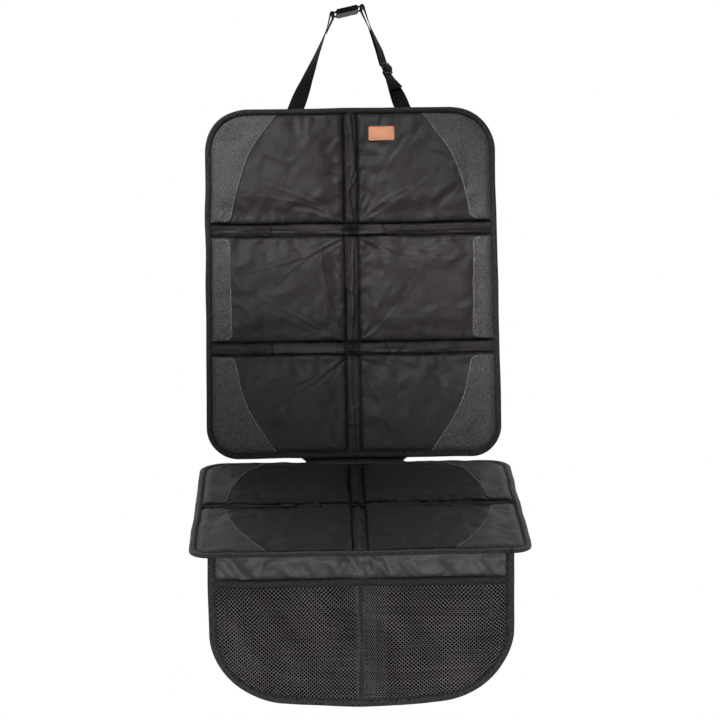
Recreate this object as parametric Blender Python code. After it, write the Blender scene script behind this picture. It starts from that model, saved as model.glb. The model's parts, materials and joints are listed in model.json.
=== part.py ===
"""Car seat protector: quilted back pad, quilted seat pad, net pocket flap and headrest strap.

Metres, +Z up, face towards -Y. The seat pad lies flat, with its underside on z = 0 and its
centre at the origin. The back pad leans back behind it and the flap hangs from its front edge.
"""
import math

import bmesh
import bpy
from mathutils import Matrix, Vector

# Names
COLLECTION = "car_seat_protector"
GUIDES = "cutters"

# Clearance between neighbouring pieces
GAP = 0.0003

# Seat pad, measured from its front edge
SEAT_HALF_WIDTH = 0.2425
SEAT_DEPTH = 0.420
SEAT_RADIUS_FRONT = 0.028
SEAT_RADIUS_REAR = 0.033
SEAT_CHANNELS = (0.222,)

# Back pad, measured up its face from the bottom edge
BACK_HALF_WIDTH = 0.2325
BACK_HEIGHT = 0.562
BACK_RADIUS_LOW = 0.048
BACK_RADIUS_HIGH = 0.070
BACK_CHANNELS = (0.1743, 0.365)
BACK_LEAN = math.radians(21.0)
BACK_FOOT_STAND_OFF = 0.0190
BACK_FOOT_Z = 0.0120

# Layers of both pads, measured up from the rear face
BACKING_THICK = 0.0010
TAPE_THICK = 0.0010
COVER_THICK = 0.0010
PATCH_THICK = 0.0008
FOAM_THICK = 0.0058
PILLOW = 0.0080
TAPE_TOP = 0.0060

# Quilting
CHANNEL_HALF = 0.0085
CENTRE_CHANNEL_HALF = 0.0095
RAMP = 0.0095
SHOULDER = 0.86
FOAM_MARGIN = 0.0020

# Edges, measured in from the pad's outer edge
TAPE_WIDTH = 0.0105
SHEET_INSET = 0.0016
PATCH_INSET = 0.0022
JOGGLE = 0.0020
RIM = TAPE_WIDTH + 0.0005
TAPE_ROUND = 0.0009
CORNER_STEPS = 9
SEAT_CORNER_MARKS = (0.028, 0.033)
BACK_CORNER_MARKS = (0.0305, 0.048, 0.070)

# Patch edges, as (height on the pad, distance from the centre line)
BACK_PATCH_HIGH = (
    (0.365, 0.1925),
    (0.392, 0.189),
    (0.436, 0.178),
    (0.490, 0.158),
    (0.528, 0.133),
    (0.562, 0.110),
)
BACK_PATCH_MID = ((0.1743, 0.1895), (0.270, 0.191), (0.365, 0.1935))
BACK_PATCH_LOW = ((0.000, 0.1150), (0.030, 0.1360), (0.060, 0.1550), (0.100, 0.1740), (0.1743, 0.1900))
SEAT_PATCH_FRONT = ((0.000, 0.125), (0.030, 0.148), (0.070, 0.168), (0.140, 0.188), (0.222, 0.198))
SEAT_PATCH_REAR = ((0.222, 0.198), (0.300, 0.186), (0.360, 0.168), (0.395, 0.150), (0.420, 0.128))

# Leather tab on the back pad
TAB_WIDTH = 0.041
TAB_HEIGHT = 0.023
TAB_THICK = 0.0013
TAB_X = 0.0510
TAB_V = 0.5185
TAB_RADIUS = 0.0018
TAB_BORDER = 0.0022
TAB_GROOVE = 0.0006
TAB_GROOVE_DEEP = 0.0004
TAB_LIFT = 0.0002

# Strip that joins the two pads
NECK_HALF_WIDTH = 0.077
NECK_THICK = 0.0010
NECK_LAP = 0.010
NECK_OFF = 0.0009
NECK_BEND = 0.0040
NECK_RISE = 0.0002

# Flap, measured up from its lowest point
FLAP_HALF_WIDTH = 0.2165
FLAP_HEIGHT = 0.2280
FLAP_RADIUS = 0.101
FLAP_SAG = 0.020
FLAP_SET_BACK = 0.0065
FLAP_CLOTH_THICK = 0.0010
FLAP_TAPE_WIDTH = 0.0115
FLAP_CORNER_STEPS = 12

# Net pockets on the flap
HEM_TOP = 0.1940
HEM_WIDTH = 0.0120
NET_THICK = 0.0010
NET_REST = FLAP_CLOTH_THICK + GAP
NET_EDGE = 0.0022
NET_BULGE = 0.0130
NET_MARGIN = 0.0135
NET_FADE = 0.055
NET_LOW_SHARE = 0.40
NET_SEAM_HALF = 0.0060
NET_PITCH_X = 0.0315
NET_PITCH_V = 0.0265
NET_STRAND = 0.0026
HEM_STEPS = 14

# Webbing and strap
WEB_WIDTH = 0.0250
WEB_THICK = 0.0013
WEB_STEP = WEB_THICK + GAP
STRAP_BASE_X = 0.0865
STRAP_LAP = -0.055
STRAP_BASE_N = -WEB_THICK / 2 - GAP
STRAP_RISE = 0.06
SEWN_END = 0.86
SLIDER_AT = 0.40
TAIL_END = 0.19
TAIL_LIFT = 0.0040
TWIST_STEP = math.radians(5.5)
TWIST_LEFT = ((STRAP_RISE, 0.0), (0.30, 42.0), (0.55, 68.0), (0.90, 90.0))
TWIST_RIGHT = ((STRAP_RISE, 0.0), (0.31, 60.0), (0.49, 60.0), (0.92, 90.0))

# Buckle, closed, measured along its length from its middle
BUCKLE_X = -0.0010
BUCKLE_V = 0.7215
BUCKLE_N = 0.0030
BUCKLE_TILT = math.radians(13.0)
BUCKLE_HALF_LENGTH = 0.0262
BUCKLE_HALF_WIDTH = 0.0155
BUCKLE_CHAMFER = 0.0010
BODY_HALF_THICK = 0.0043
END_HALF_THICK = 0.0013
BAR = 0.0030
WEB_SLOT = 0.0055
WEB_SLOT_HALF_WIDTH = 0.0131
MOUTH = 0.0060
STEP_START = 0.0160
STEP_END = 0.0190
CAVITY_END = -0.0150
CAVITY_HALF_WIDTH = 0.0135
CAVITY_HALF_THICK = 0.0029
WINDOW = (-0.0105, 0.0005)
WINDOW_HALF_THICK = 0.0027
PRONG_HALF_THICK = 0.0023
BLADE_HALF_WIDTH = 0.0022
BLADE_HALF_THICK = 0.0012
BLADE_END = -0.0080
PRONG = (
    (0.0080, 0.0098),
    (0.0080, 0.0126),
    (-0.0002, 0.0126),
    (-0.0010, 0.0146),
    (-0.0085, 0.0146),
    (-0.0096, 0.0130),
    (-0.0115, 0.0112),
    (-0.0095, 0.0098),
)

# Slider
SLIDER_HALF_WIDTH = 0.0158
SLIDER_HALF_LENGTH = 0.0092
SLIDER_THICK = 0.0016
SLIDER_BAR = 0.0024
SLIDER_SIDE = 0.0025
SLIDER_RADIUS = 0.0030
BEHIND = -(SLIDER_THICK / 2 + GAP + WEB_THICK / 2)
MAIN_BENDS = (0.0056, 0.0019)
TAIL_BENDS = (0.0064, 0.0027)

# Colours, linear, and roughness
FINISHES = {
    "face_cloth": ((0.038, 0.034, 0.035), 0.55),
    "leatherette": ((0.075, 0.071, 0.073), 0.62),
    "backing": ((0.020, 0.020, 0.021), 0.85),
    "foam": ((0.620, 0.620, 0.600), 0.90),
    "tape": ((0.024, 0.022, 0.023), 0.60),
    "flap_cloth": ((0.052, 0.047, 0.049), 0.50),
    "net": ((0.050, 0.047, 0.048), 0.60),
    "webbing": ((0.014, 0.013, 0.014), 0.55),
    "plastic": ((0.012, 0.012, 0.013), 0.30),
    "tab_leather": ((0.600, 0.280, 0.170), 0.50),
}


def clear_scene():
    for obj in list(bpy.data.objects):
        bpy.data.objects.remove(obj, do_unlink=True)


def make_collection(name):
    collection = bpy.data.collections.new(name)
    bpy.context.scene.collection.children.link(collection)
    return collection


def make_materials():
    made = {}
    for name, (colour, rough) in FINISHES.items():
        material = bpy.data.materials.new(name)
        material.use_nodes = True
        shader = material.node_tree.nodes["Principled BSDF"]
        shader.inputs["Base Color"].default_value = (*colour, 1.0)
        shader.inputs["Roughness"].default_value = rough
        made[name] = material
    return made


clear_scene()
PARTS = make_collection(COLLECTION)
CUTTERS = make_collection(GUIDES)
MATERIALS = make_materials()


# Frames that carry (across, up the face, out of the face) to world positions
def face_frame(origin, up):
    across = Vector((1.0, 0.0, 0.0))
    out = across.cross(up)
    frame = Matrix((across, up, out)).transposed().to_4x4()
    frame.translation = origin
    return frame


SEAT_FRAME = face_frame(Vector((0.0, -SEAT_DEPTH / 2, 0.0)), Vector((0.0, 1.0, 0.0)))
BACK_FRAME = face_frame(
    Vector((0.0, SEAT_DEPTH / 2 + BACK_FOOT_STAND_OFF, BACK_FOOT_Z)),
    Vector((0.0, math.sin(BACK_LEAN), math.cos(BACK_LEAN))),
)
FLAP_FRAME = face_frame(
    Vector((0.0, FLAP_SET_BACK - SEAT_DEPTH / 2, -FLAP_HEIGHT - GAP)),
    Vector((0.0, 0.0, 1.0)),
)


def add_mesh(name, points, faces, frame, finish, collection=PARTS):
    mesh = bpy.data.meshes.new(name)
    mesh.from_pydata([frame @ Vector(point) for point in points], [], faces)
    mesh.validate()
    obj = bpy.data.objects.new(name, mesh)
    collection.objects.link(obj)
    if finish:
        mesh.materials.append(MATERIALS[finish])
    return obj


def lerp(low, high, part):
    return low + (high - low) * part


def table(pairs, at):
    """Straight-line reading of a table of (position, value) pairs."""
    if at <= pairs[0][0]:
        return pairs[0][1]
    for (low, start), (high, end) in zip(pairs, pairs[1:]):
        if at <= high:
            return lerp(start, end, (at - low) / (high - low))
    return pairs[-1][1]


class Pad:
    """A quilted pad: a rounded rectangle with panels between sunk channels."""

    def __init__(self, half_width, height, radii, marks, channels):
        self.half_width = half_width
        self.height = height
        self.radii = radii
        self.marks = marks
        self.across = self.profile([(CENTRE_CHANNEL_HALF, half_width - RIM)])
        edges = (0.0,) + channels + (height,)
        self.spans = []
        for low, high in zip(edges, edges[1:]):
            start = low + (CHANNEL_HALF if low else RIM)
            stop = high - (RIM if high == height else CHANNEL_HALF)
            self.spans.append((start, stop))
        self.up = self.profile(self.spans)

    @staticmethod
    def profile(spans):
        """Table of pillow heights, as shares, along one direction."""
        pairs = []
        for start, stop in spans:
            middle = (start + stop) / 2
            pairs.append((start, 0.0))
            pairs.append((start + RAMP, SHOULDER))
            pairs.append((middle, 1.0))
            pairs.append((stop - RAMP, SHOULDER))
            pairs.append((stop, 0.0))
        return pairs

    def stations(self, across, up):
        """Grid lines: the given ones, the sheet's edge and those that round the corners."""
        across = set(across) | {self.half_width - SHEET_INSET}
        across.update(self.half_width - mark for mark in self.marks)
        up = set(up) | {SHEET_INSET, self.height - SHEET_INSET}
        up.update(mark for mark in self.marks if mark <= self.radii[0])
        up.update(self.height - mark for mark in self.marks if mark <= self.radii[1])
        return sorted(across), sorted(up)

    def pillow_stations(self):
        return self.stations([x for x, share in self.across], [v for v, share in self.up])

    def warp(self, x, v):
        """Bend the square corners of the grid round to the pad's corner radii."""
        radius = self.radii[0] if v < self.height / 2 else self.radii[1]
        side = math.copysign(1.0, x)
        along = abs(x) - (self.half_width - radius)
        above = radius - v if v < self.height / 2 else v - (self.height - radius)
        if along <= 0.0 or above <= 0.0:
            return x, v
        pull = max(along, above) / math.hypot(along, above)
        x = side * (self.half_width - radius + along * pull)
        if v < self.height / 2:
            return x, radius - above * pull
        return x, self.height - radius + above * pull

    def share(self, x, v):
        return table(self.across, abs(x)) * table(self.up, v)

    def on_rim(self, x, v):
        """One on the rim, nought once clear of the tape."""
        inset = min(self.half_width - abs(x), v, self.height - v)
        return table(((RIM, 1.0), (RIM + JOGGLE, 0.0)), inset)

    def cover_under(self, x, v):
        base = BACKING_THICK + GAP + self.on_rim(x, v) * (TAPE_THICK + GAP)
        return base + PILLOW * self.share(x, v)

    def backing_under(self, x, v):
        return self.on_rim(x, v) * (TAPE_THICK + GAP)

    def loop(self, inset):
        """Outline moved in by the inset, as points in order round the pad."""
        points = []
        turns = (
            (1, 0, -90.0),
            (1, 1, 0.0),
            (-1, 1, 90.0),
            (-1, 0, 180.0),
        )
        for side, high, start in turns:
            radius = self.radii[high]
            centre_x = side * (self.half_width - radius)
            centre_v = self.height - radius if high else radius
            for step in range(CORNER_STEPS + 1):
                angle = math.radians(start + 90.0 * step / CORNER_STEPS)
                reach = radius - inset
                points.append((centre_x + reach * math.cos(angle), centre_v + reach * math.sin(angle)))
        return points


def grid_sheet(name, rows, under, thick, warp, frame, finish):
    """Closed sheet over rows of (x, v) stations. Quads split from low to high corner."""
    points = []
    for top in (0, 1):
        for row in rows:
            for x, v in row:
                bent = warp(x, v)
                points.append((bent[0], bent[1], under(x, v) + thick * top))
    wide = len(rows[0])
    tall = len(rows)
    layer = wide * tall
    faces = []
    for j in range(tall - 1):
        for i in range(wide - 1):
            a = j * wide + i
            b = a + 1
            c = b + wide
            d = a + wide
            height = [points[index][2] for index in (a, b, c, d)]
            if abs(height[0] - height[2]) >= abs(height[1] - height[3]):
                halves = ((a, b, c), (a, c, d))
            else:
                halves = ((a, b, d), (b, c, d))
            for half in halves:
                faces.append(tuple(layer + index for index in half))
                faces.append(tuple(reversed(half)))
    edge = [i for i in range(wide)]
    edge += [j * wide + wide - 1 for j in range(1, tall)]
    edge += [(tall - 1) * wide + i for i in range(wide - 2, -1, -1)]
    edge += [j * wide for j in range(tall - 2, 0, -1)]
    for start, end in zip(edge, edge[1:] + edge[:1]):
        faces.append((start, end, end + layer, start + layer))
    return add_mesh(name, points, faces, frame, finish)


def full_rows(across, up):
    both = [-x for x in reversed(across)] + list(across)
    return [[(x, v) for x in both] for v in up]


def prism(name, outline, low, high, frame, finish, collection=PARTS):
    count = len(outline)
    points = [(x, v, low) for x, v in outline] + [(x, v, high) for x, v in outline]
    faces = [tuple(reversed(range(count))), tuple(range(count, 2 * count))]
    for index in range(count):
        after = (index + 1) % count
        faces.append((index, after, after + count, index + count))
    return add_mesh(name, points, faces, frame, finish, collection)


def sweep(name, rings, closed, frame, finish):
    """Body through a list of equal rings of points, closed on itself or capped."""
    count = len(rings[0])
    points = [point for ring in rings for point in ring]
    faces = []
    steps = len(rings) if closed else len(rings) - 1
    for step in range(steps):
        low = step * count
        high = ((step + 1) % len(rings)) * count
        for index in range(count):
            after = (index + 1) % count
            faces.append((low + index, low + after, high + after, high + index))
    if not closed:
        faces.append(tuple(reversed(range(count))))
        last = (len(rings) - 1) * count
        faces.append(tuple(last + index for index in range(count)))
    return add_mesh(name, points, faces, frame, finish)


def tape_section(width, low, high):
    """Folded tape as (inset, height) pairs round its U-shaped section."""
    return (
        (width, low),
        (TAPE_ROUND, low),
        (0.0, low + TAPE_ROUND),
        (0.0, high - TAPE_ROUND),
        (TAPE_ROUND, high),
        (width, high),
        (width, high - TAPE_THICK),
        (TAPE_THICK, high - TAPE_THICK),
        (TAPE_THICK, low + TAPE_THICK),
        (width, low + TAPE_THICK),
    )


def tape_rings(loop_at, section):
    section = section[::-1]
    loops = [loop_at(inset) for inset, height in section]
    rings = []
    for index in range(len(loops[0])):
        ring = []
        for (inset, height), loop in zip(section, loops):
            ring.append((loop[index][0], loop[index][1], height))
        rings.append(ring)
    return rings


# Quilted pads
def add_layers(pad, prefix, frame):
    """Face cloth, backing, foam boards and edge tape of one pad."""
    rows = full_rows(*pad.pillow_stations())
    grid_sheet(prefix + "_cover", rows, pad.cover_under, COVER_THICK, pad.warp, frame, "face_cloth")

    edge = (RIM, RIM + JOGGLE)
    across = [pad.half_width - inset for inset in edge]
    up = list(edge) + [pad.height - inset for inset in edge]
    rows = full_rows(*pad.stations(across, up))
    grid_sheet(prefix + "_backing", rows, pad.backing_under, BACKING_THICK, pad.warp, frame, "backing")

    section = tape_section(TAPE_WIDTH, 0.0, TAPE_TOP)
    sweep(prefix + "_binding", tape_rings(pad.loop, section), True, frame, "tape")
    add_foam(pad, prefix, frame)


def add_foam(pad, prefix, frame):
    low_x = CENTRE_CHANNEL_HALF + RAMP + FOAM_MARGIN
    high_x = pad.half_width - RIM - RAMP - FOAM_MARGIN
    bottom = BACKING_THICK + GAP
    number = 0
    for start, stop in pad.spans:
        low_v = start + RAMP + FOAM_MARGIN
        high_v = stop - RAMP - FOAM_MARGIN
        outline = [(low_x, low_v)]
        outline += foam_corner(pad, high_x, low_v, 0)
        outline += foam_corner(pad, high_x, high_v, 1)
        outline.append((low_x, high_v))
        for side in (-1, 1):
            number += 1
            turned = [(side * x, v) for x, v in outline]
            if side < 0:
                turned.reverse()
            name = f"{prefix}_foam_{number}"
            prism(name, turned, bottom, bottom + FOAM_THICK, frame, "foam")


def foam_corner(pad, x, v, high):
    """Corner of a foam board, rounded where it lies in a corner of the pad."""
    radius = pad.radii[high]
    inside = v > pad.height - radius if high else v < radius
    if not inside or x <= pad.half_width - radius:
        return [(x, v)]
    centre = (pad.half_width - radius, pad.height - radius if high else radius)
    reach = x - centre[0]
    start = 0.0 if high else -90.0
    points = []
    for step in range(4):
        angle = math.radians(start + 90.0 * step / 3)
        points.append((centre[0] + reach * math.cos(angle), centre[1] + reach * math.sin(angle)))
    return points


def add_patch(pad, name, side, span, curve, frame):
    """Leatherette on the outer side of one panel, with a curved inner edge."""
    start, stop = span
    width = pad.half_width
    first = start < SHEET_INSET + RIM
    last = stop > pad.height - SHEET_INSET - RIM
    rows_at = [v for v in pad.pillow_stations()[1] if start <= v <= stop]
    if first:
        rows_at = [PATCH_INSET] + rows_at
    if last:
        rows_at = rows_at + [pad.height - PATCH_INSET]
    radius = pad.radii[1] if last else pad.radii[0]
    marks = [mark for mark in pad.marks if mark <= radius]
    outer = [width - PATCH_INSET, width - RIM, width - RIM - RAMP]
    rows = []
    for v in rows_at:
        edge = table(curve, v)
        in_corner = (first and v < radius) or (last and v > pad.height - radius)
        if in_corner:
            inner = [width - mark for mark in marks]
        else:
            inner = [lerp(outer[-1], edge, (k + 1) / (len(marks) + 1)) for k in range(len(marks))]
        row = [(side * x, v) for x in outer + inner + [edge]]
        if side > 0:
            row.reverse()
        rows.append(row)

    def under(x, v):
        return pad.cover_under(x, v) + COVER_THICK + GAP

    grid_sheet(name, rows, under, PATCH_THICK, pad.warp, frame, "leatherette")


def add_patches(pad, prefix, curves, frame):
    number = 0
    for span, curve in zip(pad.spans, curves):
        for side in (-1, 1):
            number += 1
            add_patch(pad, f"{prefix}_patch_{number}", side, span, curve, frame)


SEAT_RADII = (SEAT_RADIUS_FRONT, SEAT_RADIUS_REAR)
BACK_RADII = (BACK_RADIUS_LOW, BACK_RADIUS_HIGH)
SEAT = Pad(SEAT_HALF_WIDTH, SEAT_DEPTH, SEAT_RADII, SEAT_CORNER_MARKS, SEAT_CHANNELS)
BACK = Pad(BACK_HALF_WIDTH, BACK_HEIGHT, BACK_RADII, BACK_CORNER_MARKS, BACK_CHANNELS)
add_layers(SEAT, "seat", SEAT_FRAME)
add_layers(BACK, "back", BACK_FRAME)
add_patches(SEAT, "seat", (SEAT_PATCH_FRONT, SEAT_PATCH_REAR), SEAT_FRAME)
add_patches(BACK, "back", (BACK_PATCH_LOW, BACK_PATCH_MID, BACK_PATCH_HIGH), BACK_FRAME)


# Leather tab, with a sunk line just inside its edge
def rounded(half_x, half_y, radius, steps):
    points = []
    for turn, (side_x, side_y) in enumerate(((1, -1), (1, 1), (-1, 1), (-1, -1))):
        for step in range(steps + 1):
            angle = math.radians(90.0 * (turn - 1) + 90.0 * step / steps)
            x = side_x * (half_x - radius) + radius * math.cos(angle)
            y = side_y * (half_y - radius) + radius * math.sin(angle)
            points.append((x, y))
    return points


def add_tab():
    corner_steps = 3
    base = COVER_THICK + GAP + TAB_LIFT
    profile = (
        (0.0, 0.0),
        (0.0, TAB_THICK),
        (TAB_BORDER, TAB_THICK),
        (TAB_BORDER + TAB_GROOVE, TAB_THICK - TAB_GROOVE_DEEP),
        (TAB_BORDER + TAB_GROOVE + TAB_GROOVE, TAB_THICK),
    )
    points = []
    for inset, height in profile:
        radius = max(TAB_RADIUS - inset, TAB_GROOVE_DEEP)
        outline = rounded(TAB_WIDTH / 2 - inset, TAB_HEIGHT / 2 - inset, radius, corner_steps)
        for x, v in outline:
            under = BACK.cover_under(TAB_X + x, TAB_V + v)
            points.append((TAB_X + x, TAB_V + v, under + base + height))
    count = 4 * (corner_steps + 1)
    faces = [tuple(reversed(range(count)))]
    for ring in range(len(profile) - 1):
        for index in range(count):
            after = (index + 1) % count
            low = ring * count
            faces.append((low + index, low + after, low + count + after, low + count + index))
    faces.append(tuple((len(profile) - 1) * count + index for index in range(count)))
    add_mesh("leather_tab", points, faces, BACK_FRAME, "tab_leather")


add_tab()


# Strip between the pads, lapped behind the back pad and over the seat pad's rear edge
def add_neck():
    top = BACK_FRAME @ Vector((0.0, NECK_LAP, -NECK_OFF))
    heel = BACK_FRAME @ Vector((0.0, 0.0, -NECK_OFF))
    rest = TAPE_TOP + GAP + NECK_THICK / 2
    edge = SEAT_DEPTH / 2
    path = [
        (top.y, top.z),
        (heel.y, heel.z),
        (heel.y - NECK_BEND, heel.z - NECK_BEND),
        (edge + NECK_BEND, rest + NECK_RISE),
        (edge, rest),
        (edge - TAPE_WIDTH, rest),
    ]
    left = []
    right = []
    for index, (y, z) in enumerate(path):
        before = path[max(index - 1, 0)]
        after = path[min(index + 1, len(path) - 1)]
        run = Vector((after[0] - before[0], after[1] - before[1])).normalized()
        side = Vector((-run.y, run.x)) * (NECK_THICK / 2)
        left.append((y + side.x, z + side.y))
        right.append((y - side.x, z - side.y))
    section = left + right[::-1]
    rings = [[(x, y, z) for y, z in section] for x in (NECK_HALF_WIDTH, -NECK_HALF_WIDTH)]
    sweep("neck_strip", rings, False, Matrix.Identity(4), "face_cloth")


add_neck()


# Flap with its net pockets
def flap_loop(inset):
    """Left side, round bottom and right side of the flap, moved in by the inset."""
    width = FLAP_HALF_WIDTH
    radius = FLAP_RADIUS
    points = [(-(width - inset), FLAP_HEIGHT)]
    for side, start in ((-1, 180.0), (1, 270.0)):
        for step in range(FLAP_CORNER_STEPS + 1):
            angle = math.radians(start + 90.0 * step / FLAP_CORNER_STEPS)
            x = side * (width - radius) + (radius - inset) * math.cos(angle)
            v = radius + (radius - inset) * math.sin(angle)
            points.append((x, v + sag(x, v)))
        if side < 0:
            for x in ((radius - width) / 2, 0.0, (width - radius) / 2):
                points.append((x, inset + sag(x, inset)))
    points.append((width - inset, FLAP_HEIGHT))
    return points


def sag(x, v):
    return FLAP_SAG * (x / FLAP_HALF_WIDTH) ** 2 * (1.0 - v / FLAP_HEIGHT)


def flap_inset(x, v):
    """Distance in from the flap's edge."""
    width = FLAP_HALF_WIDTH
    level = v - sag(x, v)
    along = abs(x) - (width - FLAP_RADIUS)
    below = FLAP_RADIUS - level
    if along > 0.0 and below > 0.0:
        return FLAP_RADIUS - math.hypot(along, below)
    return min(width - abs(x), level)


def bulge(x, v):
    """How far the net stands off the cloth: most at the mouth, none at edge and seam."""
    edge = min(max((flap_inset(x, v) - NET_MARGIN) / NET_FADE, 0.0), 1.0)
    seam = min(max((abs(x) - NET_SEAM_HALF) / NET_FADE, 0.0), 1.0)
    share = math.sin(math.pi / 2 * edge) * math.sin(math.pi / 2 * seam)
    return NET_BULGE * share * lerp(NET_LOW_SHARE, 1.0, v / HEM_TOP)


def net_under(x, v):
    return NET_REST + bulge(x, v)


def net_rim(inset):
    """Net's sides and bottom at one inset, up to the hem."""
    top = HEM_TOP - HEM_WIDTH - GAP
    loop = flap_loop(inset)
    return [(loop[0][0], top)] + loop[1:-1] + [(loop[-1][0], top)]


def net_holes():
    """Diamond gaps on a staggered grid, in both pockets."""
    half_x = NET_PITCH_X / 2 - NET_STRAND
    half_v = NET_PITCH_V / 2 - NET_STRAND
    clear = NET_MARGIN + NET_STRAND
    top = HEM_TOP - HEM_WIDTH - NET_STRAND
    holes = []
    for row in range(-1, 2 * int(HEM_TOP / NET_PITCH_V) + 2):
        v = top - half_v - row * NET_PITCH_V / 2
        shift = NET_PITCH_X / 2 if row % 2 else 0.0
        for column in range(int(FLAP_HALF_WIDTH / NET_PITCH_X) + 1):
            x = NET_SEAM_HALF + NET_STRAND + half_x + column * NET_PITCH_X + shift
            hole = [(x + half_x, v), (x, v + half_v), (x - half_x, v), (x, v - half_v)]
            if any(b > top + GAP or flap_inset(a, b) < clear for a, b in hole):
                continue
            holes.append(hole)
            holes.append([(-a, b) for a, b in hole])
    return holes


def fill(loops):
    """Flat triangles inside the first loop and outside the others, all facing one way."""
    curve = bpy.data.curves.new("outline", "CURVE")
    curve.dimensions = "2D"
    curve.fill_mode = "BOTH"
    for loop in loops:
        spline = curve.splines.new("POLY")
        spline.points.add(len(loop) - 1)
        for point, (x, v) in zip(spline.points, loop):
            point.co = (x, v, 0.0, 1.0)
        spline.use_cyclic_u = True
    guide = bpy.data.objects.new("outline", curve)
    flat = bpy.data.meshes.new_from_object(guide)
    even = bmesh.new()
    even.from_mesh(flat)
    bmesh.ops.beautify_fill(even, faces=even.faces[:], edges=even.edges[:], method="AREA")
    even.to_mesh(flat)
    even.free()
    points = [(corner.co.x, corner.co.y) for corner in flat.vertices]
    faces = [tuple(face.vertices) for face in flat.polygons]
    bpy.data.objects.remove(guide, do_unlink=True)
    bpy.data.meshes.remove(flat)
    area = 0.0
    for face in faces:
        (ax, av), (bx, bv), (cx, cv) = [points[index] for index in face[:3]]
        area += (bx - ax) * (cv - av) - (cx - ax) * (bv - av)
    if area < 0.0:
        faces = [tuple(reversed(face)) for face in faces]
    return points, faces


def add_net():
    """Net wall: a flat rim under the tape and a slack middle with diamond gaps."""
    inner = net_rim(NET_MARGIN)
    outer = net_rim(NET_EDGE)
    side, top = inner[-1]
    across = [(side - 2 * side * step / HEM_STEPS, top) for step in range(1, HEM_STEPS)]
    points, faces = fill([inner + across] + net_holes())
    found = []
    for x, v in inner:
        near = [math.hypot(point[0] - x, point[1] - v) for point in points]
        found.append(near.index(min(near)))
    first = len(points)
    points += outer
    for index in range(len(outer) - 1):
        faces.append((first + index, first + index + 1, found[index + 1], found[index]))
    thicken("pocket_net", points, faces, net_under, NET_THICK, FLAP_FRAME, "net")


def thicken(name, outline, faces, under, thick, frame, finish):
    """Closed sheet over flat faces, raised to a height at each point."""
    count = len(outline)
    points = [(x, v, under(x, v)) for x, v in outline]
    points += [(x, v, under(x, v) + thick) for x, v in outline]
    sides = set()
    solid = []
    for face in faces:
        solid.append(tuple(reversed(face)))
        solid.append(tuple(index + count for index in face))
        sides.update(zip(face, face[1:] + face[:1]))
    for start, end in sorted(sides):
        if (end, start) not in sides:
            solid.append((start, end, end + count, start + count))
    add_mesh(name, points, solid, frame, finish)


def add_flap():
    prism("flap_cloth", flap_loop(SHEET_INSET), 0.0, FLAP_CLOTH_THICK, FLAP_FRAME, "flap_cloth")
    front = NET_REST + NET_THICK + GAP + TAPE_THICK
    section = tape_section(FLAP_TAPE_WIDTH, -TAPE_THICK - GAP, front)
    rings = tape_rings(flap_loop, section)
    sweep("flap_binding", rings, False, FLAP_FRAME, "tape")
    side = FLAP_HALF_WIDTH - NET_EDGE
    marks = {side, NET_SEAM_HALF, FLAP_HALF_WIDTH - NET_MARGIN}
    marks.update(NET_SEAM_HALF + NET_FADE * step / 4 for step in range(1, 5))
    marks.update(FLAP_HALF_WIDTH - NET_MARGIN - NET_FADE * step / 4 for step in range(1, 5))
    rows = full_rows(sorted(marks), (HEM_TOP - HEM_WIDTH, HEM_TOP))
    grid_sheet("pocket_hem", rows, net_under, NET_THICK, lambda x, v: (x, v), FLAP_FRAME, "tape")
    add_net()


add_flap()


# Headrest strap, in the back pad's frame
OUT = Vector((0.0, 0.0, 1.0))
BUCKLE_ALONG = Vector((math.cos(BUCKLE_TILT), math.sin(BUCKLE_TILT), 0.0))
BUCKLE_CENTRE = Vector((BUCKLE_X, BUCKLE_V, BUCKLE_N))


def buckle_bar(side):
    return BUCKLE_CENTRE + BUCKLE_ALONG * side * (BUCKLE_HALF_LENGTH - BAR / 2)


class Strap:
    """Line of one strap from the pad's top edge to its buckle bar."""

    def __init__(self, side, twist):
        self.base = Vector((side * STRAP_BASE_X, BACK_HEIGHT, 0.0))
        self.bar = buckle_bar(side)
        run = Vector((self.bar.x - self.base.x, self.bar.y - self.base.y, 0.0))
        self.length = run.length
        self.along = run.normalized()
        self.flat = Vector((self.along.y, -self.along.x, 0.0)) * -side
        self.twist = twist

    def turn(self, part):
        angle = math.radians(table(self.twist, part))
        wide = self.flat * math.cos(angle) + OUT * math.sin(angle)
        face = self.flat * -math.sin(angle) + OUT * math.cos(angle)
        return wide, face

    def ring(self, part, offset):
        wide, face = self.turn(part)
        centre = self.base + self.along * self.length * part
        centre.z = lerp(STRAP_BASE_N, BUCKLE_N, min(max(part - STRAP_RISE, 0.0) / (1.0 - STRAP_RISE), 1.0))
        return centre + face * offset, wide

    def wrap(self, first_side):
        """Half turn round the bar, starting on the given side of it."""
        wide, face = self.turn(1.0)
        reach = math.hypot(BAR / 2, END_HALF_THICK) + WEB_THICK / 2 + 2 * GAP
        steps = 6
        rings = []
        for step in range(steps + 1):
            angle = math.pi * step / steps
            lift = face * first_side * math.cos(angle) + self.along * math.sin(angle)
            rings.append((self.bar + lift * reach, wide))
        return rings


def even_twist(rings):
    """The same rings with others between, so that no step turns the webbing far."""
    even = rings[:1]
    for (centre, wide), (next_centre, next_wide) in zip(rings, rings[1:]):
        steps = max(1, math.ceil(wide.angle(next_wide) / TWIST_STEP))
        for step in range(1, steps + 1):
            part = step / steps
            even.append((centre.lerp(next_centre, part), wide.slerp(next_wide, part)))
    return even


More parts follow.
